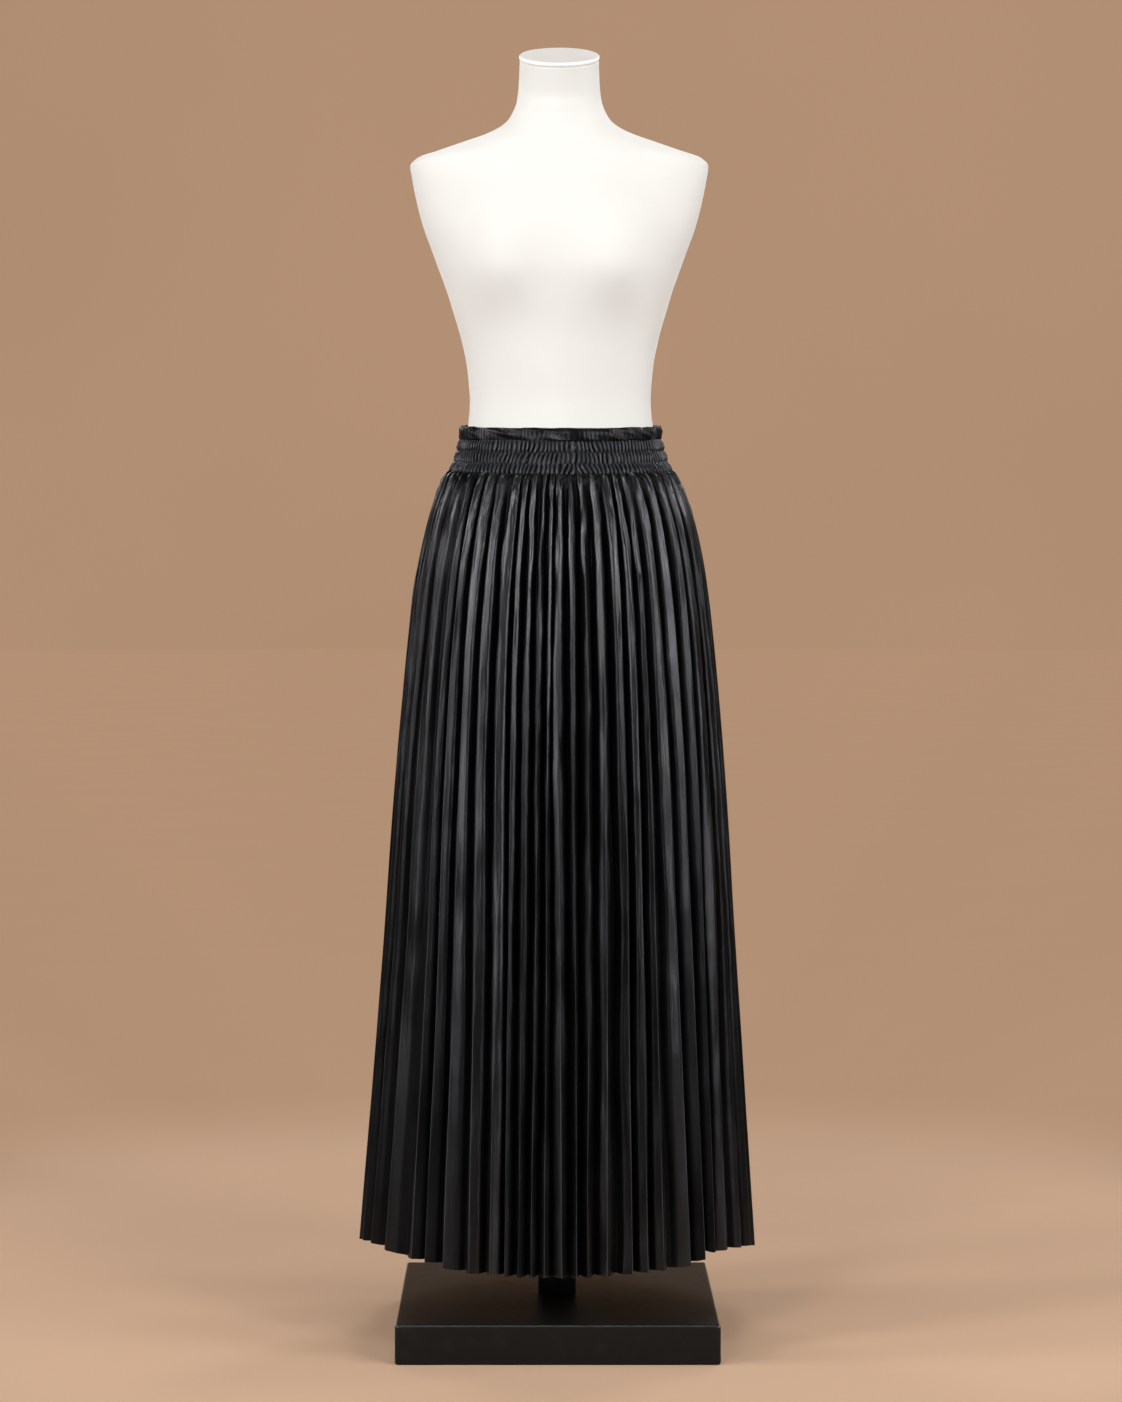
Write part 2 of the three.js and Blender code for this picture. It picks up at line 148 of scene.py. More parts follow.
# %% [markdown]
# ## Grids of points
# Cloth is woven in rows and columns, so each piece is a grid of points, rows down the
# piece and columns across it. One function turns such a grid into a smooth mesh, and
# another gives a sheet its thickness. A mesh can also keep a value at each point, which
# is how a finish knows where the cloth is pressed to a shine and where a pale highlight
# is painted along its tips.

# %% Grids of points to meshes
MM = 0.001


def grid_mesh(name, grid, round_about=False, flip=False):
    """A mesh of quads through a grid of points in millimetres, rows by columns by three."""
    rows, columns = grid.shape[:2]
    a = np.arange(rows * columns).reshape(rows, columns)
    if round_about:
        a = np.concatenate([a, a[:, :1]], axis=1)
    quads = np.stack([a[:-1, :-1], a[:-1, 1:], a[1:, 1:], a[1:, :-1]], axis=-1).reshape(-1, 4)
    if flip:
        quads = quads[:, ::-1]
    mesh = bpy.data.meshes.new(name)
    mesh.from_pydata((grid.reshape(-1, 3) * MM).tolist(), [], quads.tolist())
    mesh.shade_smooth()
    mesh.update()
    return mesh


def keep(mesh, name, values):
    """Keeps a value at each point of a mesh, for its finish to read."""
    made = mesh.attributes.new(name, "FLOAT", "POINT")
    made.data.foreach_set("value", np.ascontiguousarray(values, dtype=np.float32).ravel())


def add_piece(name, mesh, material):
    """A finished piece of the object, riding on its one body."""
    piece = bpy.data.objects.new(name, mesh)
    bpy.context.collection.objects.link(piece)
    piece.data.materials.append(material)
    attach(piece, "root")
    print(name, "has", len(mesh.polygons), "faces")
    return piece


def add_closed(name, grid, material, node, flip=False):
    """A piece from a grid that runs all the way round, in its solid's place."""
    piece = add_piece(name, grid_mesh(name, grid, round_about=True, flip=flip), material)
    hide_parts(node)


def thicken(piece, thickness):
    """Gives a sheet its real thickness, inwards from its outer face, and crisp folds."""
    modifier = piece.modifiers.new("thickness", "SOLIDIFY")
    modifier.thickness = thickness * MM
    modifier.offset = -1
    modifier.use_rim = True
    shading = piece.modifiers.new("crisp folds", "WEIGHTED_NORMAL")
    shading.mode = "FACE_AREA"
    shading.weight = 50


print("sizes are in millimetres, and each is", MM, "of Blender's metres")

# %% [markdown]
# ## Shader maths
# A finish is easier to read as arithmetic than as a web of nodes. The small class below
# wraps a socket, so that `1 - mask` adds the Math node for it. It holds the few sums
# that the finishes need, and their reflected forms, for when a plain number comes first.

# %% Numbers that change over a surface
class Number:
    """A number that changes over a surface. Sums on it add Math nodes."""

    def __init__(self, finish, socket):
        self.finish, self.socket = finish, socket

    def maths(self, operation, first, second):
        node = self.finish.node("ShaderNodeMath", {"operation": operation}, {0: first, 1: second})
        return Number(self.finish, node.outputs[0])

    def __add__(self, other):
        return self.maths("ADD", self, other)

    def __sub__(self, other):
        return self.maths("SUBTRACT", self, other)

    def __rsub__(self, other):
        return self.maths("SUBTRACT", other, self)

    def __mul__(self, other):
        return self.maths("MULTIPLY", self, other)

    __radd__, __rmul__ = __add__, __mul__

    def between(self, low, high):
        """0 where this is under low, 1 over high, and smooth in between."""
        settings = {"interpolation_type": "SMOOTHSTEP"}
        inputs = {"Value": self, "From Min": low, "From Max": high}
        return Number(self.finish, self.finish.node("ShaderNodeMapRange", settings, inputs).outputs[0])


print("a Number can be added, taken away, multiplied and held between two limits")

# %% [markdown]
# ## Finishes
# A finish is one material, and its method `node` makes every node in it, so its other
# methods stay short. A Principled shader alone has one strength of reflection, and that
# socket must stay constant to be baked. Where a surface is dull in one place and glossy
# in another, a second shader is laid over the first, by a share that can change. Sizes
# in a finish are in metres, as Blender's own are.

# %% Materials
class Finish:
    """One material: a Principled shader and whatever drives it."""

    def __init__(self, name, **constants):
        self.material = bpy.data.materials.new(name)
        self.material.use_nodes = True
        self.tree = self.material.node_tree
        self.tree.nodes.clear()
        self.shaders = [self.node("ShaderNodeBsdfPrincipled", {}, constants)]
        surface = self.shaders[0].outputs[0]
        self.output = self.node("ShaderNodeOutputMaterial", {}, {"Surface": surface})
        self.place = self.node("ShaderNodeTexCoord", {}, {}).outputs["Object"]

    def node(self, kind, settings, inputs):
        """Makes a node: its settings first, then the values or links of its sockets."""
        made = self.tree.nodes.new(kind)
        for name, value in settings.items():
            setattr(made, name, value)
        for name, value in inputs.items():
            self.feed(made.inputs[name], value)
        return made

    def feed(self, socket, value):
        """Links a socket to what changes over the surface, or sets its constant."""
        if isinstance(value, Number):
            value = value.socket
        if isinstance(value, bpy.types.NodeSocket):
            self.tree.links.new(value, socket)
        else:
            socket.default_value = value

    def overlay(self, share, **constants):
        """Lays a second Principled shader over a share of the surface."""
        self.shaders.append(self.node("ShaderNodeBsdfPrincipled", {}, constants))
        both = {0: share, 1: self.shaders[0].outputs[0], 2: self.shaders[1].outputs[0]}
        mixed = self.node("ShaderNodeMixShader", {}, both)
        self.feed(self.output.inputs["Surface"], mixed.outputs[0])

    def drive(self, **inputs):
        """Feeds the Principled shaders' own sockets."""
        for name, value in inputs.items():
            for shader in self.shaders:
                self.feed(shader.inputs[name.replace("_", " ")], value)

    def kept(self, name):
        """A value that the mesh keeps at each of its points, and 0 where it keeps none."""
        node = self.node("ShaderNodeAttribute", {"attribute_name": name}, {})
        return Number(self, node.outputs["Fac"])

    def stretched(self, scale):
        """The object's own coordinates, stretched: many repeats a metre each way."""
        inputs = {0: self.place, 1: scale}
        return self.node("ShaderNodeVectorMath", {"operation": "MULTIPLY"}, inputs).outputs[0]

    def distance_from(self, place):
        """How far each point is from a place, in metres."""
        node = self.node("ShaderNodeVectorMath", {"operation": "DISTANCE"}, {0: self.place, 1: place})
        return Number(self, node.outputs["Value"])

    def noise(self, scale, detail=2, roughness=0.5):
        """Cloudy noise about 0.5, with so many clouds a metre along x, y and z."""
        inputs = {"Vector": self.stretched(scale), "Scale": 1, "Detail": detail, "Roughness": roughness}
        return Number(self, self.node("ShaderNodeTexNoise", {}, inputs).outputs["Fac"])

    def blend(self, share, first, second):
        """A colour between two others, by a share that changes over the surface."""
        inputs = {"Factor": share, "A": first, "B": second}
        node = self.node("ShaderNodeMix", {"data_type": "RGBA"}, {})
        for socket in node.inputs:
            if socket.enabled and socket.name in inputs:
                self.feed(socket, inputs[socket.name])
        return next(socket for socket in node.outputs if socket.enabled)

    def bump(self, height, depth, under=None):
        """A surface raised by a height from 0 to 1, in metres of depth."""
        inputs = {"Height": height, "Distance": depth}
        if under is not None:
            inputs["Normal"] = under
        return self.node("ShaderNodeBump", {}, inputs).outputs[0]


def grey(value, warmth=0.0):
    """A nearly neutral colour. Warmth above 0 leans to brown, and below 0 to blue."""
    return (value * (1 + warmth), value, value * (1 - warmth), 1)


print("a cool grey of 0.5 is", grey(0.5, -0.1))

# %% [markdown]
# ## The black pleating cloth
# The skirt is a light coated satin, dyed black and heat-set into pleats. Black cloth
# shows its form by its sheen alone. The presses flatten the broad faces to a gloss, and
# the cloth that turns in to a hollow stays dull. So a dull shader is the ground, and a
# glossier one is laid over it by the shine that the mesh keeps at each point. Along each
# tip a pale line is painted into the colour as a highlight, by the value that the mesh
# keeps there. The roughness varies in clouds and in long faint streaks, because the
# coating isn't quite even.

# %% Cloth finish
def black_cloth(name, weave_depth, streak_depth):
    tint = (0.94, 0.92, 1, 1)
    finish = Finish(name, **{"Specular IOR Level": 0.05, "Specular Tint": tint})
    finish.overlay(finish.kept("shine"), **{"Specular IOR Level": 0.6, "Specular Tint": tint})
    clouds = finish.noise((24, 24, 9), detail=3)
    streaks = finish.noise((420, 420, 26), detail=2)
    swells = finish.noise((60, 60, 11), detail=2)
    grain = finish.noise((1500, 1500, 900), detail=1)
    dyed = finish.blend(clouds.between(0.35, 0.7), grey(0.0025, -0.02), grey(0.005, -0.06))
    # A pale grey is painted along the tips and the gathers' crests as a highlight.
    colour = finish.blend(finish.kept("painted_ridge_highlight"), dyed, grey(0.085, -0.12))
    roughness = 0.22 + clouds * 0.12 + streaks * 0.08
    thread = finish.bump(grain, weave_depth * MM)
    pressed = finish.bump(swells, 0.5 * MM, under=thread)
    normal = finish.bump(streaks, streak_depth * MM, under=pressed)
    finish.drive(Base_Color=colour, Roughness=roughness, Normal=normal)
    return finish.material


skirt_cloth = black_cloth("black_pleating_cloth", weave_depth=0.03, streak_depth=0.3)
band_cloth = black_cloth("black_shirred_cloth", weave_depth=0.03, streak_depth=0.05)
print("cloth finishes:", skirt_cloth.name, band_cloth.name)

# %% [markdown]
# ## The skirt's outline
# The skirt hangs like a bell: it springs out under the waistband, rounds over the hips
# and then falls almost straight to the hem. Each row of the table gives the half width
# at one height, how deep the oval is for its width, and how deep the folds are there.

# %% Sizes of the skirt
SEAM_BEARING = 90
WAIST_SEAM = 1056.5
WAIST_TILT = 0.07
WAIST_TILT_ENDS = 850
HIP_HEIGHT = 825
HEM_HEIGHT = 104
PLEAT_LEG = 27
SHALLOWEST = 0.45
SEAM_GAP = 0.3
CLOTH_THICKNESS = 0.7

SKIRT_ROWS = table(
    "height half_width depth_ratio fold_depth",
    (WAIST_SEAM + 3, 133.4, 0.78, 1.5),
    (WAIST_SEAM, 136.8, 0.78, 3),
    (1053, 141.8, 0.78, 5.5),
    (1047, 146.2, 0.78, 8.5),
    (1022, 157, 0.78, 15),
    (985, 167.8, 0.78, 20),
    (930, 178.9, 0.785, 23),
    (850, 188.8, 0.79, 26),
    (700, 202.5, 0.80, 26.5),
    (480, 217.3, 0.81, 25.5),
    (HEM_HEIGHT, 243.8, 0.82, 23.5),
)

print("the skirt is", WAIST_SEAM - HEM_HEIGHT, "mm long and", 2 * SKIRT_ROWS[-1]["half_width"], "wide")

# %% [markdown]
# ## The skirt's pleats
# A real pleated panel is one flat width of cloth, set into a zigzag. Seen from above,
# its line runs out to a crisp tip, back to a hollow, and out again. Each fold here has a
# row in a table: its bearing from the centre front at the hip and at the hem, and where
# the hollow after it lies. The pleats spread unevenly, just as they hang.

# %% Folds of the front and the back
FRONT_FOLDS = table(
    "hip hem hollow",
    (-85, -85, 0.5),
    (-77, -77, 0.45),
    (-68.5, -68.3, 0.55),
    (-58.6, -58.5, 0.68),
    (-48.6, -45.8, 0.62),
    (-43.8, -40.5, 0.6),
    (-37.4, -33.9, 0.68),
    (-30.6, -25.6, 0.65),
    (-23.1, -19.4, 0.72),
    (-17.6, -15, 0.5),
    (-13, -11.2, 0.55),
    (-8.2, -7.5, 0.5),
    (-4.9, -3.8, 0.34),
    (-1.2, 1, 0.55),
    (4.4, 5, 0.5),
    (9.4, 8.4, 0.55),
    (15.6, 13.8, 0.5),
    (22.8, 21.3, 0.38),
    (27.7, 26.2, 0.5),
    (32.6, 31.2, 0.4),
    (39.8, 40.6, 0.38),
    (47.5, 46.6, 0.48),
    (55.5, 51.2, 0.36),
    (63.4, 56.4, 0.55),
    (71.4, 66, 0.5),
    (78.4, 76.5, 0.45),
    (85.5, 85.5, 0.5),
)


def back_folds(count=27, uneven=1.7):
    """The back's folds, spread as unevenly as the front's."""
    rows = []
    for i in range(count):
        even = SEAM_BEARING * ((2 * i + 1) / count - 1)
        hip, hem = even + uneven * math.sin(2.3 * i), even + uneven * math.sin(2.3 * i + 0.8)
        rows.append({"hip": hip, "hem": hem, "hollow": 0.5 + 0.08 * math.sin(1.7 * i)})
    return rows


print(len(FRONT_FOLDS), "folds in front and", len(back_folds()), "behind")

# %% [markdown]
# ## Where a point of the garment stands
# The garment's plan is a soft oval, a little more pointed at the side seams as the skirt
# falls. The waist leans with the body, lower in front, and form and skirt stand a few
# millimetres to one side of the pole, by a table of heights. The hem isn't quite level:
# another table says how far it rides up or drops at each bearing.

# %% The garment's plan and lean
LEAN = table(
    "height aside",
    (HEM_HEIGHT, 0),
    (344, 1.9),
    (480, 3),
    (700, 3.7),
    (985, 5),
    (1056, 4.5),
    (1110, 4.2),
    (1300, 3),
    (1560, 2.7),
)

HEM_POINTEDNESS = 1.8
HEM_LIFT_REACH = 260
HEM_LIFTS = table(
    "bearing front back",
    (-90, 9, 6),
    (-72, 15.5, 9),
    (-60, 13.5, 12),
    (-50, 10, 7),
    (-43, 9, 4),
    (-38, 7, 5),
    (-33, 2.5, 1),
    (-25, 0.6, -1),
    (-12, -0.5, 2),
    (6, 0, 0),
    (25, 0.5, -2),
    (40, 1.3, 4),
    (46.6, 8, 8),
    (49, 17, 10),
    (52, 12.7, 7),
    (59, 14, 11),
    (67, 11.5, 12),
    (76, 8, 9),
    (85, 2.5, 8),
    (90, 2, 7),
)


def plan_point(bearing, half_width, half_depth, inset, power=2.0):
    """A point of the plan, so far inside the oval outline."""
    across = np.sin(np.radians(bearing))
    ahead = np.clip(1 - np.abs(across) ** power, 0, 1) ** (1 / power)
    return (half_width - inset) * across, (half_depth - inset) * ahead


def hem_lift(bearing, side):
    """How far the hem rides up, in millimetres, at a bearing of the front or the back."""
    lifts = column_of(HEM_LIFTS, "front" if side < 0 else "back")
    return np.interp(bearing, column_of(HEM_LIFTS, "bearing"), lifts)


def stand_up(x, y, height, side):
    """Points at their height, on the front (side -1) or the back (side 1)."""
    y = side * (y + SEAM_GAP / 2)
    x = x + along(LEAN, height, "aside")
    share = np.clip((height - WAIST_TILT_ENDS) / (WAIST_SEAM - WAIST_TILT_ENDS), 0, 1)
    return np.stack([x, y, height + WAIST_TILT * share * y], axis=-1)


print("in front the hem rides up from", min(column_of(HEM_LIFTS, "front")), "to",
      max(column_of(HEM_LIFTS, "front")), "mm")

# %% [markdown]
# ## Broad faces
# On the real skirt one leg of most folds is pressed into a broad flat face that mirrors
# the light, and the other turns away. Each row names such a leg (-1 towards the wearer's
# right, 1 towards the left) and says what share of it the face takes, how far the face
# sinks before it dives to the hollow, and how much it shines at four heights. A leg with
# no row takes plain values, a little wider towards the centre front.

# %% Faces and their shine
FACE_SHARE = 0.5
CENTREWARD = 0.1
FACE_INSET = 0.08
FACE_CHANGE = 0.06
LEAST_INSET = 0.015
PLAIN_SHINE = 0.2
SHINE_HEIGHTS = (HEM_HEIGHT, 420, 800, 960)
FACES = table(
    "fold leg share inset top hip knee hem",
    (1, 1, 0.6, 0.08, 0.1, 0.35, 0.3, 0.1),
    (2, 1, 0.6, 0.08, 0.1, 0.35, 0.3, 0.15),
    (3, 1, 0.66, 0.06, 0.1, 0.35, 0.5, 0.5),
    (4, 1, 0.7, 0.07, 0.2, 0.4, 0.2, 0.05),
    (5, 1, 0.7, 0.07, 0.6, 0.45, 0.25, 0.1),
    (6, 1, 0.7, 0.05, 1, 0.7, 0.65, 0.3),
    (7, 1, 0.7, 0.06, 1, 0.7, 0.4, 0.5),
    (8, 1, 0.8, 0.06, 1, 1, 1, 1),
    (9, 1, 0.6, 0.06, 0.9, 0.5, 0.3, 0.4),
    (10, 1, 0.6, 0.1, 1, 0.3, 0.15, 0.2),
    (11, 1, 0.6, 0.1, 1, 0.2, 0.3, 0.2),
    (12, 1, 0.8, 0.1, 1, 1, 0.5, 0.6),
    (13, -1, 0.7, 0.1, 1, 1, 0.5, 0.6),
    (13, 1, 0.5, 0.1, 1, 0.1, 0.1, 0.05),
    (14, -1, 0.5, 0.12, 1, 0.3, 0.1, 0.1),
    (15, -1, 0.5, 0.1, 0.9, 0.1, 0.1, 0.1),
    (16, -1, 0.8, 0.13, 0.8, 1, 0.6, 0.7),
    (17, -1, 0.7, 0.06, 1, 0.3, 0.2, 0.4),
    (18, -1, 0.7, 0.04, 1, 0.9, 0.3, 0.4),
    (19, -1, 0.7, 0.06, 0.8, 0.2, 0.2, 0.5),
    (20, -1, 0.7, 0.07, 0.7, 0.55, 0.55, 0.8),
    (21, -1, 0.7, 0.06, 0.8, 0.65, 0.2, 0.1),
    (22, -1, 0.66, 0.06, 0.45, 0.3, 0.1, 0.1),
    (23, -1, 0.66, 0.06, 0.25, 0.45, 0.45, 0.7),
    (24, -1, 0.6, 0.06, 0.15, 0.3, 0.3, 0.5),
    (25, -1, 0.6, 0.06, 0.1, 0.3, 0.4, 0.3),
)
FULLNESS_ROWS = table(
    "height fullness",
    (HEM_HEIGHT, 0.5),
    (350, 0.75),
    (700, 0.9),
    (1000, 0.8),
    (WAIST_SEAM, 0.4),
)
FULLNESS_CHANGE = 0.12

print(sum(row["hip"] > 0.5 for row in FACES), "of", len(FACES), "faces shine brightly at the hip")

# %% [markdown]
# ## The pleated shell
# Columns of points crowd together near each tip, each hollow and each edge of a broad
# face, because that is where the cloth bends. A pleat's leg keeps its length, so a fold
# that stands wide open must be shallower than a closed one. Rows crowd together under
# the waistband, where the cloth is gathered.

# %% Columns and rows of a panel
FACE_EDGE = (0.88, 1.12)
LEG_PARTS = np.array([0, 0.5, *FACE_EDGE, 1.4, 1.72, 1.93])
TIP_ROUND = 0.5
HOLLOW_ROUND = 0.6


class Columns:
    """The columns of a panel: each has its fold, a hollow beside it, its leg and its step up it.
    The part is 0 in the hollow, 1 where the face begins and 2 at the tip."""

    def __init__(self, folds, faces):
        rows = []
        for fold in range(len(folds)):
            rows += [(fold, fold, -1, part) for part in LEG_PARTS]
            rows += [(fold, fold, 1, 2.0)]
            rows += [(fold, fold + 1, 1, part) for part in LEG_PARTS[:0:-1]]
        rows.append((len(folds) - 1, len(folds), 1, 0.0))
        self.fold, self.hollow, self.leg, self.part = [np.array(column) for column in zip(*rows)]
        self.run, self.faces = self.fold + 0.5 * (self.leg > 0), faces
        plain = FACE_SHARE - CENTREWARD * np.sign(column_of(folds, "hem"))[self.fold] * self.leg
        self.share = self.chosen("share", plain)
        dive, face = self.part * (1 - self.share), 1 - self.share + (self.part - 1) * self.share
        self.step = np.where(self.part < 1, dive, face)

    def on(self, row):
        """Which columns are on the fold and leg that a table's row names."""
        return (self.fold == row["fold"]) & (self.leg == row["leg"])

    def chosen(self, name, otherwise):
        """A value of the faces for each column, or another where a leg has no row."""
        for row in self.faces:
            otherwise = np.where(self.on(row), row[name], otherwise)
        return otherwise


def skirt_heights():
    """Heights of the rows, close together where the cloth is gathered."""
    top = WAIST_SEAM + 3
    gathered = np.arange(top, top - 32, -2.0)
    upper = np.arange(gathered[-1] - 4, gathered[-1] - 100, -5.0)
    lower = np.linspace(upper[-1] - 8, HEM_HEIGHT, 75)
    return np.concatenate([gathered, upper, lower])[:, None]


def fold_shares(folds):
    """How deep each hollow goes: a fold that stands wider open is shallower."""
    hem = SKIRT_ROWS[-1]
    bearings = column_of(folds, "hem")
    mirrored = np.concatenate([[-180 - bearings[0]], bearings, [180 - bearings[-1]]])
    x = hem["half_width"] * np.sin(np.radians(mirrored))
    y = hem["half_width"] * hem["depth_ratio"] * np.cos(np.radians(mirrored))
    half_open = np.hypot(np.diff(x), np.diff(y)) / 2
    return np.sqrt(np.maximum(1 - (half_open / PLEAT_LEG) ** 2, SHALLOWEST ** 2))


print("a panel has", len(Columns(FRONT_FOLDS, FACES).fold), "columns and", len(skirt_heights()), "rows")

# %% [markdown]
# ## Creases listed one by one
# Heat-set pleats stay crisp, but the faces between them carry soft dents where the cloth
# was pressed, packed and hung. Each row of this table is one of them: the fold, the leg
# (-1 towards the wearer's right, 1 towards the left), the height of its middle, its
# length, its depth, and how much it slants across the leg.

# %% Creases of the front
CREASES = table(
    "fold leg height length depth slant",
    (4, 1, 985, 120, -1.6, 30),
    (5, 1, 880, 150, 1.3, -40),
    (6, 1, 960, 90, -1.5, 45),
    (7, 1, 905, 140, -1.8, -30),
    (8, 1, 800, 170, 1.4, 20),
    (9, -1, 940, 110, -1.2, 25),
    (10, 1, 995, 70, 1.3, -20),
    (12, 1, 840, 160, -1.1, 30),
    (13, -1, 960, 120, 1.2, -35),
    (15, 1, 900, 130, -1.2, 20),
    (16, -1, 780, 200, 1.5, -25),
    (17, -1, 930, 110, -1.7, 40),
    (18, -1, 860, 150, 1.5, -30),
    (19, -1, 980, 90, -1.4, 35),
    (20, -1, 890, 160, -1.6, -45),
    (21, -1, 790, 130, 1.3, 20),
    (5, 1, 560, 260, -1.2, 60),
    (8, 1, 470, 220, -1.3, -40),
    (16, -1, 420, 240, 1.2, 50),
    (20, -1, 330, 260, -1.3, -30),
    (3, 1, 300, 240, 1.3, 40),
    (24, -1, 360, 300, -1.4, 20),
)


def moved_over(rows):
    """The same rows for the back, each on another fold and leg. No two folds meet there,
    because the step of 7 and the 26 folds share no factor."""
    return [dict(row, fold=(row["fold"] * 7 + 3) % 26, leg=-row["leg"]) for row in rows]


def crease_depth(creases, columns, tall):
    """How far all the creases press each point into its leg."""
    step, depth = columns.step, 0
    for row in creases:
        far = (tall - row["height"] - row["slant"] * (step - 0.5)) / (row["length"] / 2)
        depth = depth + row["depth"] * columns.on(row) * np.exp(-far ** 2) * 4 * step * (1 - step)
    return depth


print(len(CREASES), "creases, the longest", max(row["length"] for row in CREASES), "mm")

# %% [markdown]
# ## Where the folds stand
# Real pleats sway a little on their way down and no two are equally deep, so soft noise
# moves each tip and each hollow. A broad face sinks slowly from the tip and then dives:
# two straight stretches with a second crease between them. How far the cloth fills out
# to that shape follows a table of heights, since at the seam it is only gathered.

# %% Places of folds and legs
TIP_WANDER = 0.28
HOLLOW_WANDER = 0.09
DEPTH_CHANGE = 0.1
TIP_SINK = 0.8


def rise_of(tall):
    """0 at the hem and 1 from the hip up."""
    return np.clip((tall - HEM_HEIGHT) / (HIP_HEIGHT - HEM_HEIGHT), 0, 1)


def leg_bearings(folds, columns, tall, seed):
    """The bearing of each point, between its hollow and its tip."""
    rise, index = rise_of(tall), np.arange(len(folds))
    tips = column_of(folds, "hem") * (1 - rise) + column_of(folds, "hip") * rise
    tips = tips + TIP_WANDER * soft_noise(index * 3.1 + 0.5, tall / 190, seed)
    share = column_of(folds, "hollow") + HOLLOW_WANDER * soft_noise(index * 2.7, tall / 170, seed + 1)
    inner = tips[:, :-1] + (tips[:, 1:] - tips[:, :-1]) * share[:, :-1]
    edge = np.full((len(tall), 1), float(SEAM_BEARING))
    hollows = np.concatenate([-edge, inner, edge], axis=1)
    return hollows[:, columns.hollow] * (1 - columns.step) + tips[:, columns.fold] * columns.step


def leg_insets(folds, columns, tall, seed):
    """How far each point lies inside the outline: slowly down its face, then down the dive."""
    between, index = np.arange(len(folds) + 1), np.arange(len(folds))
    uneven = 1 + DEPTH_CHANGE * soft_noise(between * 1.9 + 0.3, tall / 160, seed + 2)
    depth = along(SKIRT_ROWS, tall, "fold_depth") * fold_shares(folds) * uneven
    tip = TIP_ROUND + TIP_SINK * (1 + soft_noise(index * 2.3, tall / 120, seed + 3)) * rise_of(tall)
    fullness = along(FULLNESS_ROWS, tall, "fullness")
    fullness = fullness + FULLNESS_CHANGE * soft_noise(columns.run * 4.7, tall / 130, seed + 9)
    sunk = columns.chosen("inset", FACE_INSET)
    sunk = sunk + FACE_CHANGE * soft_noise(columns.run * 3.3, tall / 260, seed + 10)
    sunk = np.maximum(sunk, LEAST_INSET)
    away, share = 1 - columns.step, columns.share
    dive = np.where(away < share, sunk * away / share, sunk + (1 - sunk) * (away - share) / (1 - share))
    inset = depth[:, columns.hollow] * (away + (dive - away) * np.clip(fullness, 0, 1))
    rounded = TIP_ROUND * (columns.step == 1) - HOLLOW_ROUND * (columns.step == 0)
    return inset + tip[:, columns.fold] * columns.step + rounded


print("a fold wanders by up to", TIP_WANDER, "degrees")

# %% [markdown]
# ## Dents, gathers and shine
# The faces swell and sink softly down their length, more so at the hips, where the cloth
# is drawn in. Just under the waistband it is pinched into small gathers, which fade fast
# at first and are gone after ten centimetres. The shine follows the table of faces,
# breaks up softly on its way down, and is liveliest among the gathers.

# %% Unevenness of the cloth
PINCH_DEPTH = 2.6
PINCH_REACH = 24
PINCH_FADE = 105
PINCH_COLUMNS = 5.6
HIP_DENTS = (700, 1000)
SOFT_DENT, HIP_DENT, FINE_DENT = 0.8, 1.3, 0.5
LEAST_SHINE, SHINE_CHANGE = 0.04, 0.45
WAIST_SHINE, WAIST_SHINE_CHANGE = 0.28, 0.95
WAIST_SHINE_FROM, WAIST_SHINE_FULL = 900, 1040
# How strongly a pale highlight is painted along each tip, and how much that varies.
TIP_HIGHLIGHT, TIP_HIGHLIGHT_CHANGE = 0.55, 0.45
HEM_RIPPLE = 0.8


def leg_dents(columns, creases, tall, seed):
    """How far the cloth of each leg is pressed in from its straight line."""
    middle = 4 * columns.step * (1 - columns.step)
    lively = SOFT_DENT + HIP_DENT * smooth_step(tall, *HIP_DENTS)
    dent = middle * lively * soft_noise(columns.run * 5.3 + columns.step, tall / 48, seed + 4)
    fine = soft_noise(columns.run * 7.9 + columns.step * 2.5, tall / 21, seed + 5)
    dent = dent + middle * FINE_DENT * fine
    return dent + crease_depth(creases, columns, tall)


def seam_gathers(columns, tall, seed):
    """Small gathers under the waistband, as depths that fade out below it."""
    below = WAIST_SEAM - tall
    near = 1 - 0.65 * smooth_step(below, 2, PINCH_REACH) - 0.35 * smooth_step(below, 20, PINCH_FADE)
    count = np.arange(len(columns.fold))
    phase = count * 2 * math.pi / PINCH_COLUMNS + 2.4 * soft_noise(count / 7, tall / 25, seed + 6)
    pinch = PINCH_DEPTH * near * (0.5 + 0.5 * soft_noise(count / 4, tall / 12, seed + 7))
    return pinch * np.sin(phase)


def face_shine(columns, tall, seed):
    """How much of each point is pressed to a shine: the faces, not the way in to a hollow."""
    rows = [columns.chosen(name, PLAIN_SHINE) for name in ("hem", "knee", "hip", "top")]
    level = np.array([np.interp(tall[:, 0], SHINE_HEIGHTS, column) for column in zip(*rows)]).T
    level = level * (1 + SHINE_CHANGE * soft_noise(columns.run * 3.7, tall / 70, seed))
    fine = soft_noise(np.arange(len(columns.fold)) / 1.8, tall / 34, seed + 1)
    near_waist = smooth_step(tall, WAIST_SHINE_FROM, WAIST_SHINE_FULL)
    level = level + near_waist * (WAIST_SHINE + WAIST_SHINE_CHANGE * fine)
    on_face = np.clip((columns.part - FACE_EDGE[0]) / (FACE_EDGE[1] - FACE_EDGE[0]), 0, 1)
    return np.clip(LEAST_SHINE + level * on_face, 0, 1)


print("gathers are", PINCH_DEPTH, "mm deep at the seam")

# %% [markdown]
# ## The skirt's two panels
# Each panel is one grid: bearings and insets place its points on the plan, and the dents
# press them in across the cloth's own line. It is a single thin sheet over its solid,
# so the folds stay crisp, and a modifier adds the thickness. The back has folds, faces
# and creases of the same kinds as the front's, each in another place.

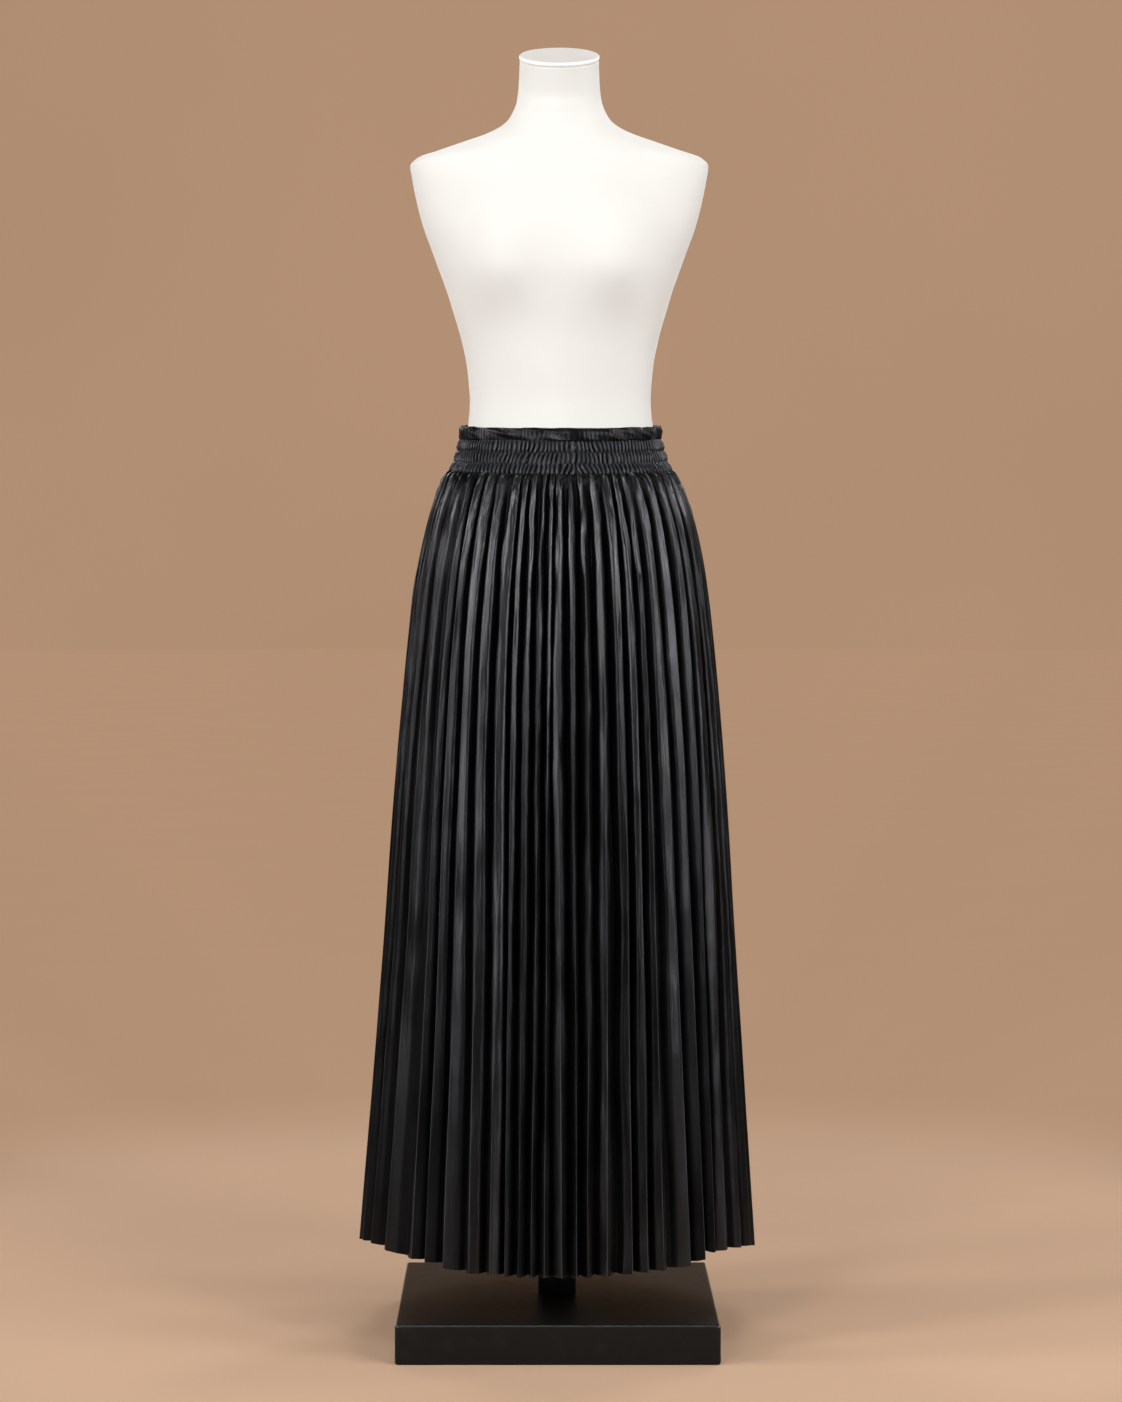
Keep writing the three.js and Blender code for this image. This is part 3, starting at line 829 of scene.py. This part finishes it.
# %% Build the pleated panels
def pressed_in(x, y, depth):
    """Points moved inwards across their row's line, or outwards where the depth is below 0."""
    way_x, way_y = np.gradient(x, axis=1), np.gradient(y, axis=1)
    length = np.hypot(way_x, way_y) + 1e-9
    return x + way_y / length * depth, np.maximum(y - way_x / length * depth, 0)


def pleated_panel(side, folds, faces, creases, seed):
    """One panel of the skirt: its grid of points, how each shines, and where a highlight is painted
    along its tips.
    """
    tall, columns = skirt_heights(), Columns(folds, faces)
    rise = rise_of(tall)
    bearing = leg_bearings(folds, columns, tall, seed)
    half_width = smooth_along(SKIRT_ROWS, tall, "half_width")
    half_depth = half_width * along(SKIRT_ROWS, tall, "depth_ratio")
    power = 2 + (HEM_POINTEDNESS - 2) * (1 - rise)
    x, y = plan_point(bearing, half_width, half_depth, leg_insets(folds, columns, tall, seed), power)
    x, y = pressed_in(x, y, leg_dents(columns, creases, tall, seed) + seam_gathers(columns, tall, seed))
    lift = hem_lift(bearing, side) * smooth_step(-tall, -HEM_HEIGHT - HEM_LIFT_REACH, -HEM_HEIGHT)
    ripple = HEM_RIPPLE * soft_noise(bearing / 6, tall * 0, seed + 8) * (1 - rise) ** 6
    # A pale line painted along each tip stands in for the highlight it catches.
    tip_highlight = TIP_HIGHLIGHT + TIP_HIGHLIGHT_CHANGE * soft_noise(columns.run * 2.1, tall / 90, seed + 12)
    shine = face_shine(columns, tall, seed + 11)
    return stand_up(x, y, tall + lift + ripple, side), shine, (columns.step == 1) * tip_highlight


def add_cloth(node, sheet, material, flip):
    """Makes a sheet of cloth, thickens it and sets it in its solid's place."""
    grid, shine, painted_ridge_highlight = sheet
    mesh = grid_mesh(node + "_cloth", grid, flip=flip)
    keep(mesh, "shine", shine)
    keep(mesh, "painted_ridge_highlight", painted_ridge_highlight)
    piece = add_piece(node + "_cloth", mesh, material)
    thicken(piece, CLOTH_THICKNESS)
    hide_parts(node)
    return piece


front_sheet = pleated_panel(-1, FRONT_FOLDS, FACES, CREASES, seed=11)
back_sheet = pleated_panel(1, back_folds(), moved_over(FACES), moved_over(CREASES), seed=51)
skirt_front = add_cloth("skirt_front", front_sheet, skirt_cloth, flip=True)
skirt_back = add_cloth("skirt_back", back_sheet, skirt_cloth, flip=False)

# %% [markdown]
# ## The shirred waistband
# Three rows of elastic thread gather the band into puffs, under a plain tunnel that
# holds the top elastic. Between two stitched rows the cloth stands out in fine crowded
# gathers, each a few millimetres apart, slanting this way and that. They are held down
# at the stitching and stand out fully in the middle of a puff.

# %% Sizes of the waistband
BAND_ROWS = table(
    "height half_width gather",
    (1054.5, 135.6, 0.7),
    (1057, 136.2, 1.0),
    (1061, 135, 1.0),
    (1065.5, 132, 1.0),
    (1068.3, 130.6, 0.45),
    (1071, 130.4, 1.0),
    (1075, 129.3, 1.0),
    (1079, 127.6, 1.0),
    (1081.2, 126.3, 0.45),
    (1084, 126.8, 1.0),
    (1088, 126, 1.0),
    (1092, 124.8, 0.9),
    (1094.6, 123.6, 0.4),
    (1097, 124.3, 0.4),
    (1102, 124.5, 0.22),
    (1107, 124.2, 0.18),
    (1109.6, 123.4, 0.14),
)
STITCH_ROWS = (1068.3, 1081.2, 1094.6)
BAND_TOP = 1110.8
BAND_TURN = 1.2
BAND_INNER_HALF_WIDTH = 121.5
BAND_DEPTH_RATIO = 0.78
BAND_GATHERS = 70
POINTS_A_GATHER = 9
GATHER_DEPTH = 2.1
GATHER_SLANT = 2.2
GATHER_WANDER = 1.7
PUFF_MIDDLES = np.array([1061.5, 1074.8, 1088, 1102])
PUFF_HEIGHT = 13
WRINKLE_DEPTH = 1.3


def band_profile():
    """The band's outside from the seam up, then over its turned top and down inside."""
    heights = np.linspace(BAND_ROWS[0]["height"], BAND_ROWS[-1]["height"], 48)
    half_widths = smooth_along(BAND_ROWS, heights, "half_width")
    gather = smooth_along(BAND_ROWS, heights, "gather")
    turn = np.linspace(0.25, 1, 5) * math.pi
    middle = (half_widths[-1] + BAND_INNER_HALF_WIDTH) / 2
    radius = (half_widths[-1] - BAND_INNER_HALF_WIDTH) / 2
    heights = np.concatenate([heights, BAND_TOP - BAND_TURN + BAND_TURN * np.sin(turn), [1100, 1092]])
    over = middle + radius * np.cos(turn)
    half_widths = np.concatenate([half_widths, over, [BAND_INNER_HALF_WIDTH] * 2])
    gather = np.concatenate([gather, np.full(5, 0.15), [0, 0]])
    return heights[:, None], half_widths[:, None], gather[:, None]


print("the band's profile has", len(band_profile()[0]), "rows, and a half has", BAND_GATHERS, "gathers")

# %% [markdown]
# ## Gathers between the stitching
# The gathers of one puff end at its stitching, and the next puff has its own. So the
# noise that slants and spreads them takes another line of its table for each puff. A
# power of a sine gives round crests with narrow clefts between them. The tunnel at the
# top has no gathers, only loose wrinkles that run across it.

# %% Build the waistband
def shirred_half(side, seed):
    """Half of the waistband: its grid of points, how each shines, and where a highlight is painted on
    its crests.
    """
    heights, half_widths, gather = band_profile()
    columns = np.linspace(-SEAM_BEARING, SEAM_BEARING, BAND_GATHERS * POINTS_A_GATHER + 1)[None, :]
    run = (columns + SEAM_BEARING) / (2 * SEAM_BEARING) * BAND_GATHERS
    puff = np.digitize(heights, STITCH_ROWS)
    lean = GATHER_SLANT * (heights - PUFF_MIDDLES[puff]) / PUFF_HEIGHT
    wander = GATHER_WANDER * soft_noise(run / 2.6, puff * 9 + heights / 17, seed + 1)
    phase = math.pi * run + wander + lean * soft_noise(run / 6, puff * 9 + 0.5, seed)
    ridge = np.abs(np.sin(phase)) ** 0.7
    fine = 0.3 * np.sin(4 * phase + 3 * soft_noise(run / 3, puff * 9 + heights / 9, seed + 2))
    size = 0.8 + 0.6 * soft_noise(run / 1.4, puff * 9 + heights / 22, seed + 3)
    tunnel = heights > STITCH_ROWS[-1]
    wrinkle = WRINKLE_DEPTH * soft_noise(run / 3.4 + heights / 9, heights / 8, seed + 4) * tunnel
    swell = GATHER_DEPTH * gather * size * (1.6 * ridge + fine - 1.3) + wrinkle * (gather > 0)
    x, y = plan_point(columns, half_widths + swell, (half_widths * BAND_DEPTH_RATIO) + swell, 0)
    uneven = 0.5 * soft_noise(columns / 5, 0 * heights, seed + 5) * smooth_step(heights, 1100, 1110)
    loose = 0.5 + 0.55 * soft_noise(run / 1.9 + heights / 9, heights / 7, seed + 6)
    shine = np.clip(0.03 + 0.56 * np.where(tunnel, loose, ridge ** 3) * np.clip(size, 0, 1.2), 0, 1)
    # The last value paints a pale highlight along the crests of the gathers.
    return stand_up(x, y, heights + uneven, side), shine, 0.5 * ridge ** 9 * (1 - tunnel) * gather


front_half, back_half = shirred_half(-1, seed=91), shirred_half(1, seed=131)
band_front = add_cloth("waistband_front", front_half, band_cloth, flip=False)
band_back = add_cloth("waistband_back", back_half, band_cloth, flip=True)

# %% [markdown]
# ## The dress form
# The form is one closed shell under a matt stretch cover, off-white all over. A smooth
# curve through the named sizes gives its outline, and a soft swell on each side gives
# the bust. A cover like this is joined by a seam down the centre front and the centre
# back, which shows as the faintest raised line.

# %% Sizes of the form
FORM_BOTTOM = 770
NECK_TOP = 1558.4
CAP_TIP = 19.5
FORM_ROWS = table(
    "height half_width front back centre tip",
    (NECK_TOP, 48.5, 45, 45, -12, CAP_TIP),
    (1535, 49.3, 47, 47.5, -4, 16.5),
    (1521, 50.4, 49.5, 51, 1, 14),
    (1507, 52.8, 54, 57, 4, 12),
    (1495.8, 57.5, 57, 61, 6, 9),
    (1486.8, 63, 59, 65, 6, 7),
    (1477.8, 74, 61, 69, 6, 5),
    (1468.8, 92, 64, 73, 5, 3),
    (1459.6, 117, 67, 76, 4, 1),
    (1448.6, 148, 70, 78, 3, 0),
    (1439, 175, 73, 80, 2, 0),
    (1429.5, 183, 75, 81, 1, 0),
    (1412, 180.5, 80, 83, 0, 0),
    (1380, 174, 87, 88, 0, 0),
    (1351, 166, 93, 91, 0, 0),
    (1327, 157.2, 96, 91, 0, 0),
    (1302, 148.1, 97, 90, 0, 0),
    (1277, 139, 95, 88, 0, 0),
    (1253, 131.6, 92, 85, 0, 0),
    (1216, 121, 87, 78, 0, 0),
    (1180, 114, 84, 77, 0, 0),
    (1140, 111, 82, 80, 0, 0),
    (1110, 113.6, 84, 84, 0, 0),
    (1080, 121.4, 90, 91, 0, 0),
    (1056, 131, 97, 98.5, 0, 0),
    (1020, 136, 100, 102, 0, 0),
    (985, 142.3, 104, 106, 0, 0),
    (930, 150.8, 108, 112, 0, 0),
    (860, 157.3, 110.5, 116.5, 0, 0),
    (800, 156, 109, 114, 0, 0),
    (776, 153, 106, 112, 0, 0),
    (FORM_BOTTOM, 147, 100, 106, 0, 0),
)
BUST = {"height": 1297, "spread": 84, "rise": 19, "width": 46, "up": 66, "down": 46}
FORM_COLUMNS = 160
SEAM_RAISED = 0.35
SEAM_HALF_WIDTH = 2.2


def bust_swell(across, height):
    """How far the soft bust stands out of the front."""
    reach = np.where(height > BUST["height"], BUST["up"], BUST["down"])
    side = (np.abs(across) - BUST["spread"]) / BUST["width"]
    return BUST["rise"] * np.exp(-side ** 2 - ((height - BUST["height"]) / reach) ** 2)


print("the bust stands out by", bust_swell(BUST["spread"], BUST["height"]), "mm")

# %% [markdown]
# ## The form's grid
# Rows crowd together on the shoulders, where the outline turns most, and each row is an
# oval with its own depth in front and behind. The rows of the neck tip forwards by the
# angle in the table, up to the slope of the cap.

# %% Rows of the form
def form_heights():
    """Rows of the form, closest together on the shoulders."""
    neck = np.linspace(NECK_TOP, 1490, 22)
    shoulders = np.linspace(1488, 1412, 52)
    body = np.linspace(1407, 778, 96)
    return np.concatenate([neck, shoulders, body, [775, 772, FORM_BOTTOM]])[:, None]


def form_grid():
    """The form's surface, from the neck down."""
    heights = form_heights()
    turn = (2 * np.pi * np.arange(FORM_COLUMNS) / FORM_COLUMNS)[None, :]
    sizes = {name: smooth_along(FORM_ROWS, heights, name) for name in FORM_ROWS[0] if name != "height"}
    across, ahead = sizes["half_width"] * np.sin(turn), np.cos(turn)
    front = sizes["front"] + bust_swell(across, heights)
    y = -np.where(ahead > 0, front, sizes["back"]) * ahead
    seam = SEAM_RAISED * np.exp(-(across / SEAM_HALF_WIDTH) ** 2) * smooth_step(-heights, -1545, -1530)
    y = y - np.sign(ahead) * seam
    z = heights + y * np.tan(np.radians(sizes["tip"]))
    return np.stack([across + along(LEAN, heights, "aside"), y + sizes["centre"], z], axis=-1)


print("the form has", len(form_heights()), "rows of", FORM_COLUMNS, "points")

# %% [markdown]
# ## Cover and closed ends
# The cover is a matt knit: soft noise in its colour keeps it from looking like plastic,
# and fine ribs lift it by less than a tenth of a millimetre. The grid is open at the
# neck and underneath, so a fan of small rings closes each end, and the form is whole.

# %% Build the form
def shrinking(ring, shares):
    """Copies of a ring of points that shrink towards its middle."""
    centre = ring.mean(axis=0)
    return np.array([centre + (ring - centre) * share for share in shares])


def closed(grid, shares):
    """A grid with a fan of shrinking rings at each end."""
    return np.concatenate([shrinking(grid[0], shares)[::-1], grid, shrinking(grid[-1], shares)])


def cover_finish():
    """Matt off-white stretch knit, a little cloudy."""
    finish = Finish("form_cover", **{"Specular IOR Level": 0.12, "Sheen Weight": 0.5})
    clouds = finish.noise((9, 9, 9), detail=3)
    knit = finish.noise((900, 900, 1300), detail=1)
    ribs = finish.noise((1400, 1400, 240), detail=1)
    dull, clean = (0.775, 0.752, 0.715, 1), (0.802, 0.78, 0.743, 1)
    colour = finish.blend(clouds.between(0.3, 0.7), dull, clean)
    normal = finish.bump(knit * 0.6 + ribs * 0.4, 0.06 * MM)
    finish.drive(Base_Color=colour, Roughness=0.78 + knit * 0.12, Normal=normal)
    return finish.material


FORM_RINGS = (0.97, 0.8, 0.5, 0.2, 0.002)
add_closed("form_cover_shell", closed(form_grid(), FORM_RINGS), cover_finish(), "form_body")

# %% [markdown]
# ## The neck cap
# A round plate with a softly rolled edge closes the neck and tips forwards with it. It
# is turned on a lathe, so it is a profile swept round, here from a few named sizes. The
# rolled edge catches the light, and it is also painted a touch lighter than the cloudy
# flat top, as a painted highlight.

# %% Build the neck cap
CAP_RADIUS = 49.2
CAP_THICKNESS = 5.5
CAP_EDGE = 2.0
CAP_SIDES = 96
CAP_HIGHLIGHT_RIM = (0.0435, 0.0455)


def cap_profile():
    """The cap's outline from the middle of its top, over the rolled edge, to underneath."""
    roll = np.linspace(math.pi / 2, -math.pi / 2, 11)
    edge_radius = CAP_RADIUS - CAP_EDGE + CAP_EDGE * np.cos(roll)
    edge_height = CAP_THICKNESS / 2 + (CAP_THICKNESS / 2) * np.sin(roll)
    flat = np.array([0.05, 12, 26, 38, 44])
    dished = CAP_THICKNESS - 0.5 * smooth_step(-flat, -46, -40)
    under = np.array([40, 20, 0.05])
    radius = np.concatenate([flat, edge_radius, under])
    height = np.concatenate([dished, edge_height, np.zeros(3)])
    return radius[:, None], height[:, None]


def cap_finish():
    """Satin white, a little cloudy on the disc, with the rim painted a touch lighter as a highlight."""
    finish = Finish("cap_satin", **{"Specular IOR Level": 0.4})
    clouds = finish.noise((30, 30, 30), detail=3)
    centre = (LEAN[-1]["aside"] * MM, FORM_ROWS[0]["centre"] * MM, FORM_ROWS[0]["height"] * MM)
    # The rim is painted a touch lighter than the disc's average, as a highlight.
    painted_rim_highlight = finish.distance_from(centre).between(*CAP_HIGHLIGHT_RIM)
    disc = finish.blend(clouds.between(0.35, 0.65), (0.9, 0.875, 0.84, 1), (0.93, 0.905, 0.87, 1))
    colour = finish.blend(painted_rim_highlight, disc, (0.92, 0.9, 0.87, 1))
    normal = finish.bump(finish.noise((500, 500, 500)), 0.03 * MM)
    finish.drive(Base_Color=colour, Roughness=0.42 + clouds * 0.12, Normal=normal)
    return finish.material


def neck_cap_grid():
    """The profile turned round and tipped forwards with the neck."""
    radius, height = cap_profile()
    turn = (2 * np.pi * np.arange(CAP_SIDES) / CAP_SIDES)[None, :]
    x, flat_y = radius * np.sin(turn), -radius * np.cos(turn)
    tip = math.radians(CAP_TIP)
    neck = FORM_ROWS[0]
    lifted = height + SEAM_GAP + 0 * turn
    y = neck["centre"] + flat_y * math.cos(tip) - lifted * math.sin(tip)
    z = neck["height"] + flat_y * math.sin(tip) + lifted * math.cos(tip)
    return np.stack([x + 0 * height + LEAN[-1]["aside"], y, z], axis=-1)


add_closed("neck_cap_plate", neck_cap_grid(), cap_finish(), "neck_cap")

# %% [markdown]
# ## The stand
# The pole and the square base are painted satin black. The paint has a faint
# orange-peel texture and a trace of dust. It has pooled along the base's rounded top
# edge, where it is glossier and holds a thin highlight, so a clear coat is added there
# by height alone.

# %% Stand finish
POOLED_FROM = (0.0436, 0.0444)
POOLED_UNTIL = (0.0464, 0.0469)


def stand_finish():
    """Satin black paint, glossier along the base's top edge."""
    finish = Finish("satin_black_paint", **{"Specular IOR Level": 0.18, "Coat Roughness": 0.13})
    clouds = finish.noise((7, 7, 7), detail=4)
    dust = finish.noise((60, 60, 60), detail=4).between(0.52, 0.8)
    peel = finish.noise((450, 450, 450), detail=1)
    colour = finish.blend(dust * 0.5, grey(0.004, 0.06), grey(0.010, 0.1))
    normal = finish.bump(peel, 0.035 * MM)
    parts = finish.node("ShaderNodeSeparateXYZ", {}, {"Vector": finish.place}).outputs
    height = Number(finish, parts["Z"])
    pooled = height.between(*POOLED_FROM) * (1 - height.between(*POOLED_UNTIL))
    finish.drive(Base_Color=colour, Coat_Weight=pooled, Normal=normal,
                 Roughness=0.42 + clouds * 0.1 + dust * 0.08)
    return finish.material


satin_black = stand_finish()
print("stand finish:", satin_black.name)

# %% [markdown]
# ## Base and pole
# The base is a rounded square lofted from rings, each a square with round corners that
# shrinks over the edge. The pole is a plain tube from the base up to the form. A lathe
# or a bevel would do as well, but rings close both ends in the same way as the form's.

# %% Build the base and the pole
BASE_HALF = 191.5
BASE_HEIGHT = 47
BASE_CORNER = 4
BASE_EDGE = 3
POLE_RADIUS = 23


def rounded_square(half, corner, points_a_corner=8, points_a_side=6):
    """The outline of a square with round corners, as points round it."""
    turn = np.linspace(0, math.pi / 2, points_a_corner)
    outline = []
    for quarter in range(4):
        spin = quarter * math.pi / 2
        arc_x = half - corner + corner * np.cos(turn)
        arc_y = half - corner + corner * np.sin(turn)
        side = np.linspace(1, -1, points_a_side + 2)[1:-1] * (half - corner)
        x, y = np.concatenate([arc_x, side]), np.concatenate([arc_y, np.full(points_a_side, half)])
        turned_x, turned_y = x * np.cos(spin) - y * np.sin(spin), x * np.sin(spin) + y * np.cos(spin)
        outline.append(np.stack([turned_x, turned_y], axis=1))
    return np.concatenate(outline)


def base_grid():
    """Rings from the underside to the top, with the same round edge on both."""
    bend = np.linspace(0, math.pi / 2, 7)
    over = [(BASE_EDGE * (1 - math.cos(a)), BASE_HEIGHT - BASE_EDGE * (1 - math.sin(a))) for a in bend]
    rings = [(inset, BASE_HEIGHT - height) for inset, height in reversed(over)] + over
    rows = []
    for inset, height in rings:
        outline = rounded_square(BASE_HALF - inset, max(BASE_CORNER - inset, 0.6))
        rows.append(np.column_stack([outline, np.full(len(outline), height)]))
    return closed(np.array(rows)[::-1], (0.98, 0.6, 0.2, 0.002))


def pole_grid(sides=72):
    """A closed tube that stops just short of the form and the base."""
    turn = 2 * np.pi * np.arange(sides) / sides
    heights = np.linspace(FORM_BOTTOM - SEAM_GAP, BASE_HEIGHT + SEAM_GAP, 30)
    ring = np.stack([POLE_RADIUS * np.sin(turn), -POLE_RADIUS * np.cos(turn)], axis=1)
    grid = np.array([np.column_stack([ring, np.full(sides, height)]) for height in heights])
    return closed(grid, (0.9, 0.4, 0.002))


add_closed("base_block", base_grid(), satin_black, "stand_base", flip=True)
add_closed("pole_tube", pole_grid(), satin_black, "stand_pole")

# %% [markdown]
# ## What the cloth was cut to
# Each panel was a flat rectangle before it was pleated, and each half of the band was a
# strip one and a half times as long as it looks.

print("panels cut from", round(1.25 * 0.955, 2), "square metres each, band halves from", 0.53 * 0.075)

# %% [markdown]
# ## The backdrop
# The studio has a warm tan backdrop that is lit behind the form, and is dark all round,
# since black cloth would mirror any brightness there. A wall would throw shadows and
# show its edges, so the world holds the backdrop's colour in each direction instead.

# %% Backdrop
BACKDROP = (0.45, 0.28, 0.177, 1)
UNLIT_BACKDROP = (0.035, 0.027, 0.022, 1)


def dimmed(colour, share):
    """A colour with its three parts made darker by the same share."""
    return tuple(share * part for part in colour[:3]) + (1,)


def backdrop_colour(finish, direction):
    """The backdrop's colour in a direction: bright behind the form, darker all round."""
    parts = finish.node("ShaderNodeSeparateXYZ", {}, {"Vector": direction}).outputs
    lit = Number(finish, parts["Y"]).between(0.6, 0.88)
    noise = finish.node("ShaderNodeTexNoise", {}, {"Vector": direction, "Scale": 5, "Detail": 3})
    clouds = Number(finish, noise.outputs["Fac"]).between(0.2, 0.8)
    return finish.blend(lit, UNLIT_BACKDROP, finish.blend(clouds, dimmed(BACKDROP, 0.93), BACKDROP))


class Backdrop(Finish):
    """The world's own tree, made with the same nodes as a material."""

    def __init__(self, world):
        world.use_nodes = True
        self.tree = world.node_tree
        self.tree.nodes.clear()
        direction = self.node("ShaderNodeTexCoord", {}, {}).outputs["Generated"]
        glow = self.node("ShaderNodeBackground", {}, {"Color": backdrop_colour(self, direction)})
        self.node("ShaderNodeOutputWorld", {}, {"Surface": glow.outputs[0]})


bpy.context.scene.world = bpy.data.worlds.new("studio")
Backdrop(bpy.context.scene.world)
print("backdrop set in the world", bpy.context.scene.world.name)

# %% [markdown]
# ## The floor
# The real floor is painted like the backdrop. Here it has its own colour near the form,
# where the light falls on it, and farther out it goes over to the backdrop's colours,
# which it gives off by itself. So it can run far out with no edge in the picture.

# %% Floor
FLOOR_RADIUS = 40
LIT_FLOOR_CENTRE = (0, 0.45, 0)
LIT_FLOOR_EDGE = (0.9, 1.7)
FLOOR_COLOUR = (0.615, 0.413, 0.281, 1)


def floor_grid():
    """Rings that widen, so that the rows are close together near the form."""
    radius = np.array([0.01, 0.5, 1, 2, 4, 8, 16, FLOOR_RADIUS])[:, None] * 1000
    turn = (2 * np.pi * np.arange(96) / 96)[None, :]
    return np.stack([radius * np.sin(turn), -radius * np.cos(turn), 0 * radius * turn], axis=-1)


def floor_finish():
    """Painted floor near the form. It fades into the backdrop's own colour farther out."""
    finish = Finish("warm_floor", **{"Specular IOR Level": 0.1, "Emission Strength": 1})
    far = finish.distance_from(LIT_FLOOR_CENTRE).between(*LIT_FLOOR_EDGE)
    unit = finish.node("ShaderNodeVectorMath", {"operation": "NORMALIZE"}, {0: finish.place})
    clouds = finish.noise((2.1, 2.1, 2.1), detail=4).between(0.25, 0.75)
    near = finish.blend(clouds, dimmed(FLOOR_COLOUR, 0.95), FLOOR_COLOUR)
    colour = finish.blend(far, near, (0, 0, 0, 1))
    glow = finish.blend(far, (0, 0, 0, 1), backdrop_colour(finish, unit.outputs[0]))
    finish.drive(Base_Color=colour, Emission_Color=glow, Roughness=0.8 + clouds * 0.1)
    return finish.material


floor = bpy.data.objects.new("floor", grid_mesh("floor", floor_grid(), round_about=True))
floor.data.materials.append(floor_finish())
bpy.context.collection.objects.link(floor)
print("floor reaches", FLOOR_RADIUS, "m")

# %% [markdown]
# ## The lights
# Each light is a rectangular soft box. A turn of 0 stands it in front, at the camera's
# side, and a turn above 0 moves it round towards the wearer's left. The low ones light
# the lower skirt, whose cloth hangs nearly upright, and the high ones the hips.

# %% Lights
LIGHTS = table(
    "name turn reach height size watts",
    ("front_left", -20, 4.3, 2.5, (0.9, 1.4), 48),
    ("left", -58, 4.3, 2.5, (0.8, 1.4), 66),
    ("side_left", -82, 4.3, 2.5, (0.7, 1.4), 44),
    ("front_right", 40, 4.3, 2.5, (0.9, 1.4), 56),
    ("high_right", 72, 4.3, 3.6, (1.0, 1.0), 46),
    ("side_right", 105, 4.3, 2.5, (0.9, 1.4), 26),
    ("low_front", 30, 4.3, 1.3, (0.8, 1.4), 28),
    ("low_right", 60, 4.3, 1.3, (0.8, 1.4), 40),
    ("low_left", -34, 4.3, 1.2, (1.2, 1.4), 29),
    ("low_side_left", -78, 4.3, 1.2, (0.8, 1.4), 23),
    ("overhead", 0, 1.2, 4.0, (1.4, 0.6), 18),
    ("behind_left", -148, 4.3, 2.8, (1.2, 1.2), 34),
    ("behind_right", 148, 4.3, 2.8, (1.2, 1.2), 46),
)
AIM_HEIGHT = 0.9


def soft_light(row):
    """A soft box that faces the figure at the height of its hips."""
    data = bpy.data.lights.new(row["name"], "AREA")
    data.shape, data.energy = "RECTANGLE", row["watts"]
    data.size, data.size_y = row["size"]
    light = bpy.data.objects.new(row["name"], data)
    turn = math.radians(row["turn"])
    light.location = (row["reach"] * math.sin(turn), -row["reach"] * math.cos(turn), row["height"])
    dip = math.atan2(row["height"] - AIM_HEIGHT, row["reach"])
    light.rotation_euler = (math.pi / 2 - dip, 0, turn)
    light.visible_camera = False
    bpy.context.collection.objects.link(light)


for light_row in LIGHTS:
    soft_light(light_row)
bpy.context.scene.view_settings.view_transform = "Standard"
print("lit by", len(LIGHTS), "soft lights")
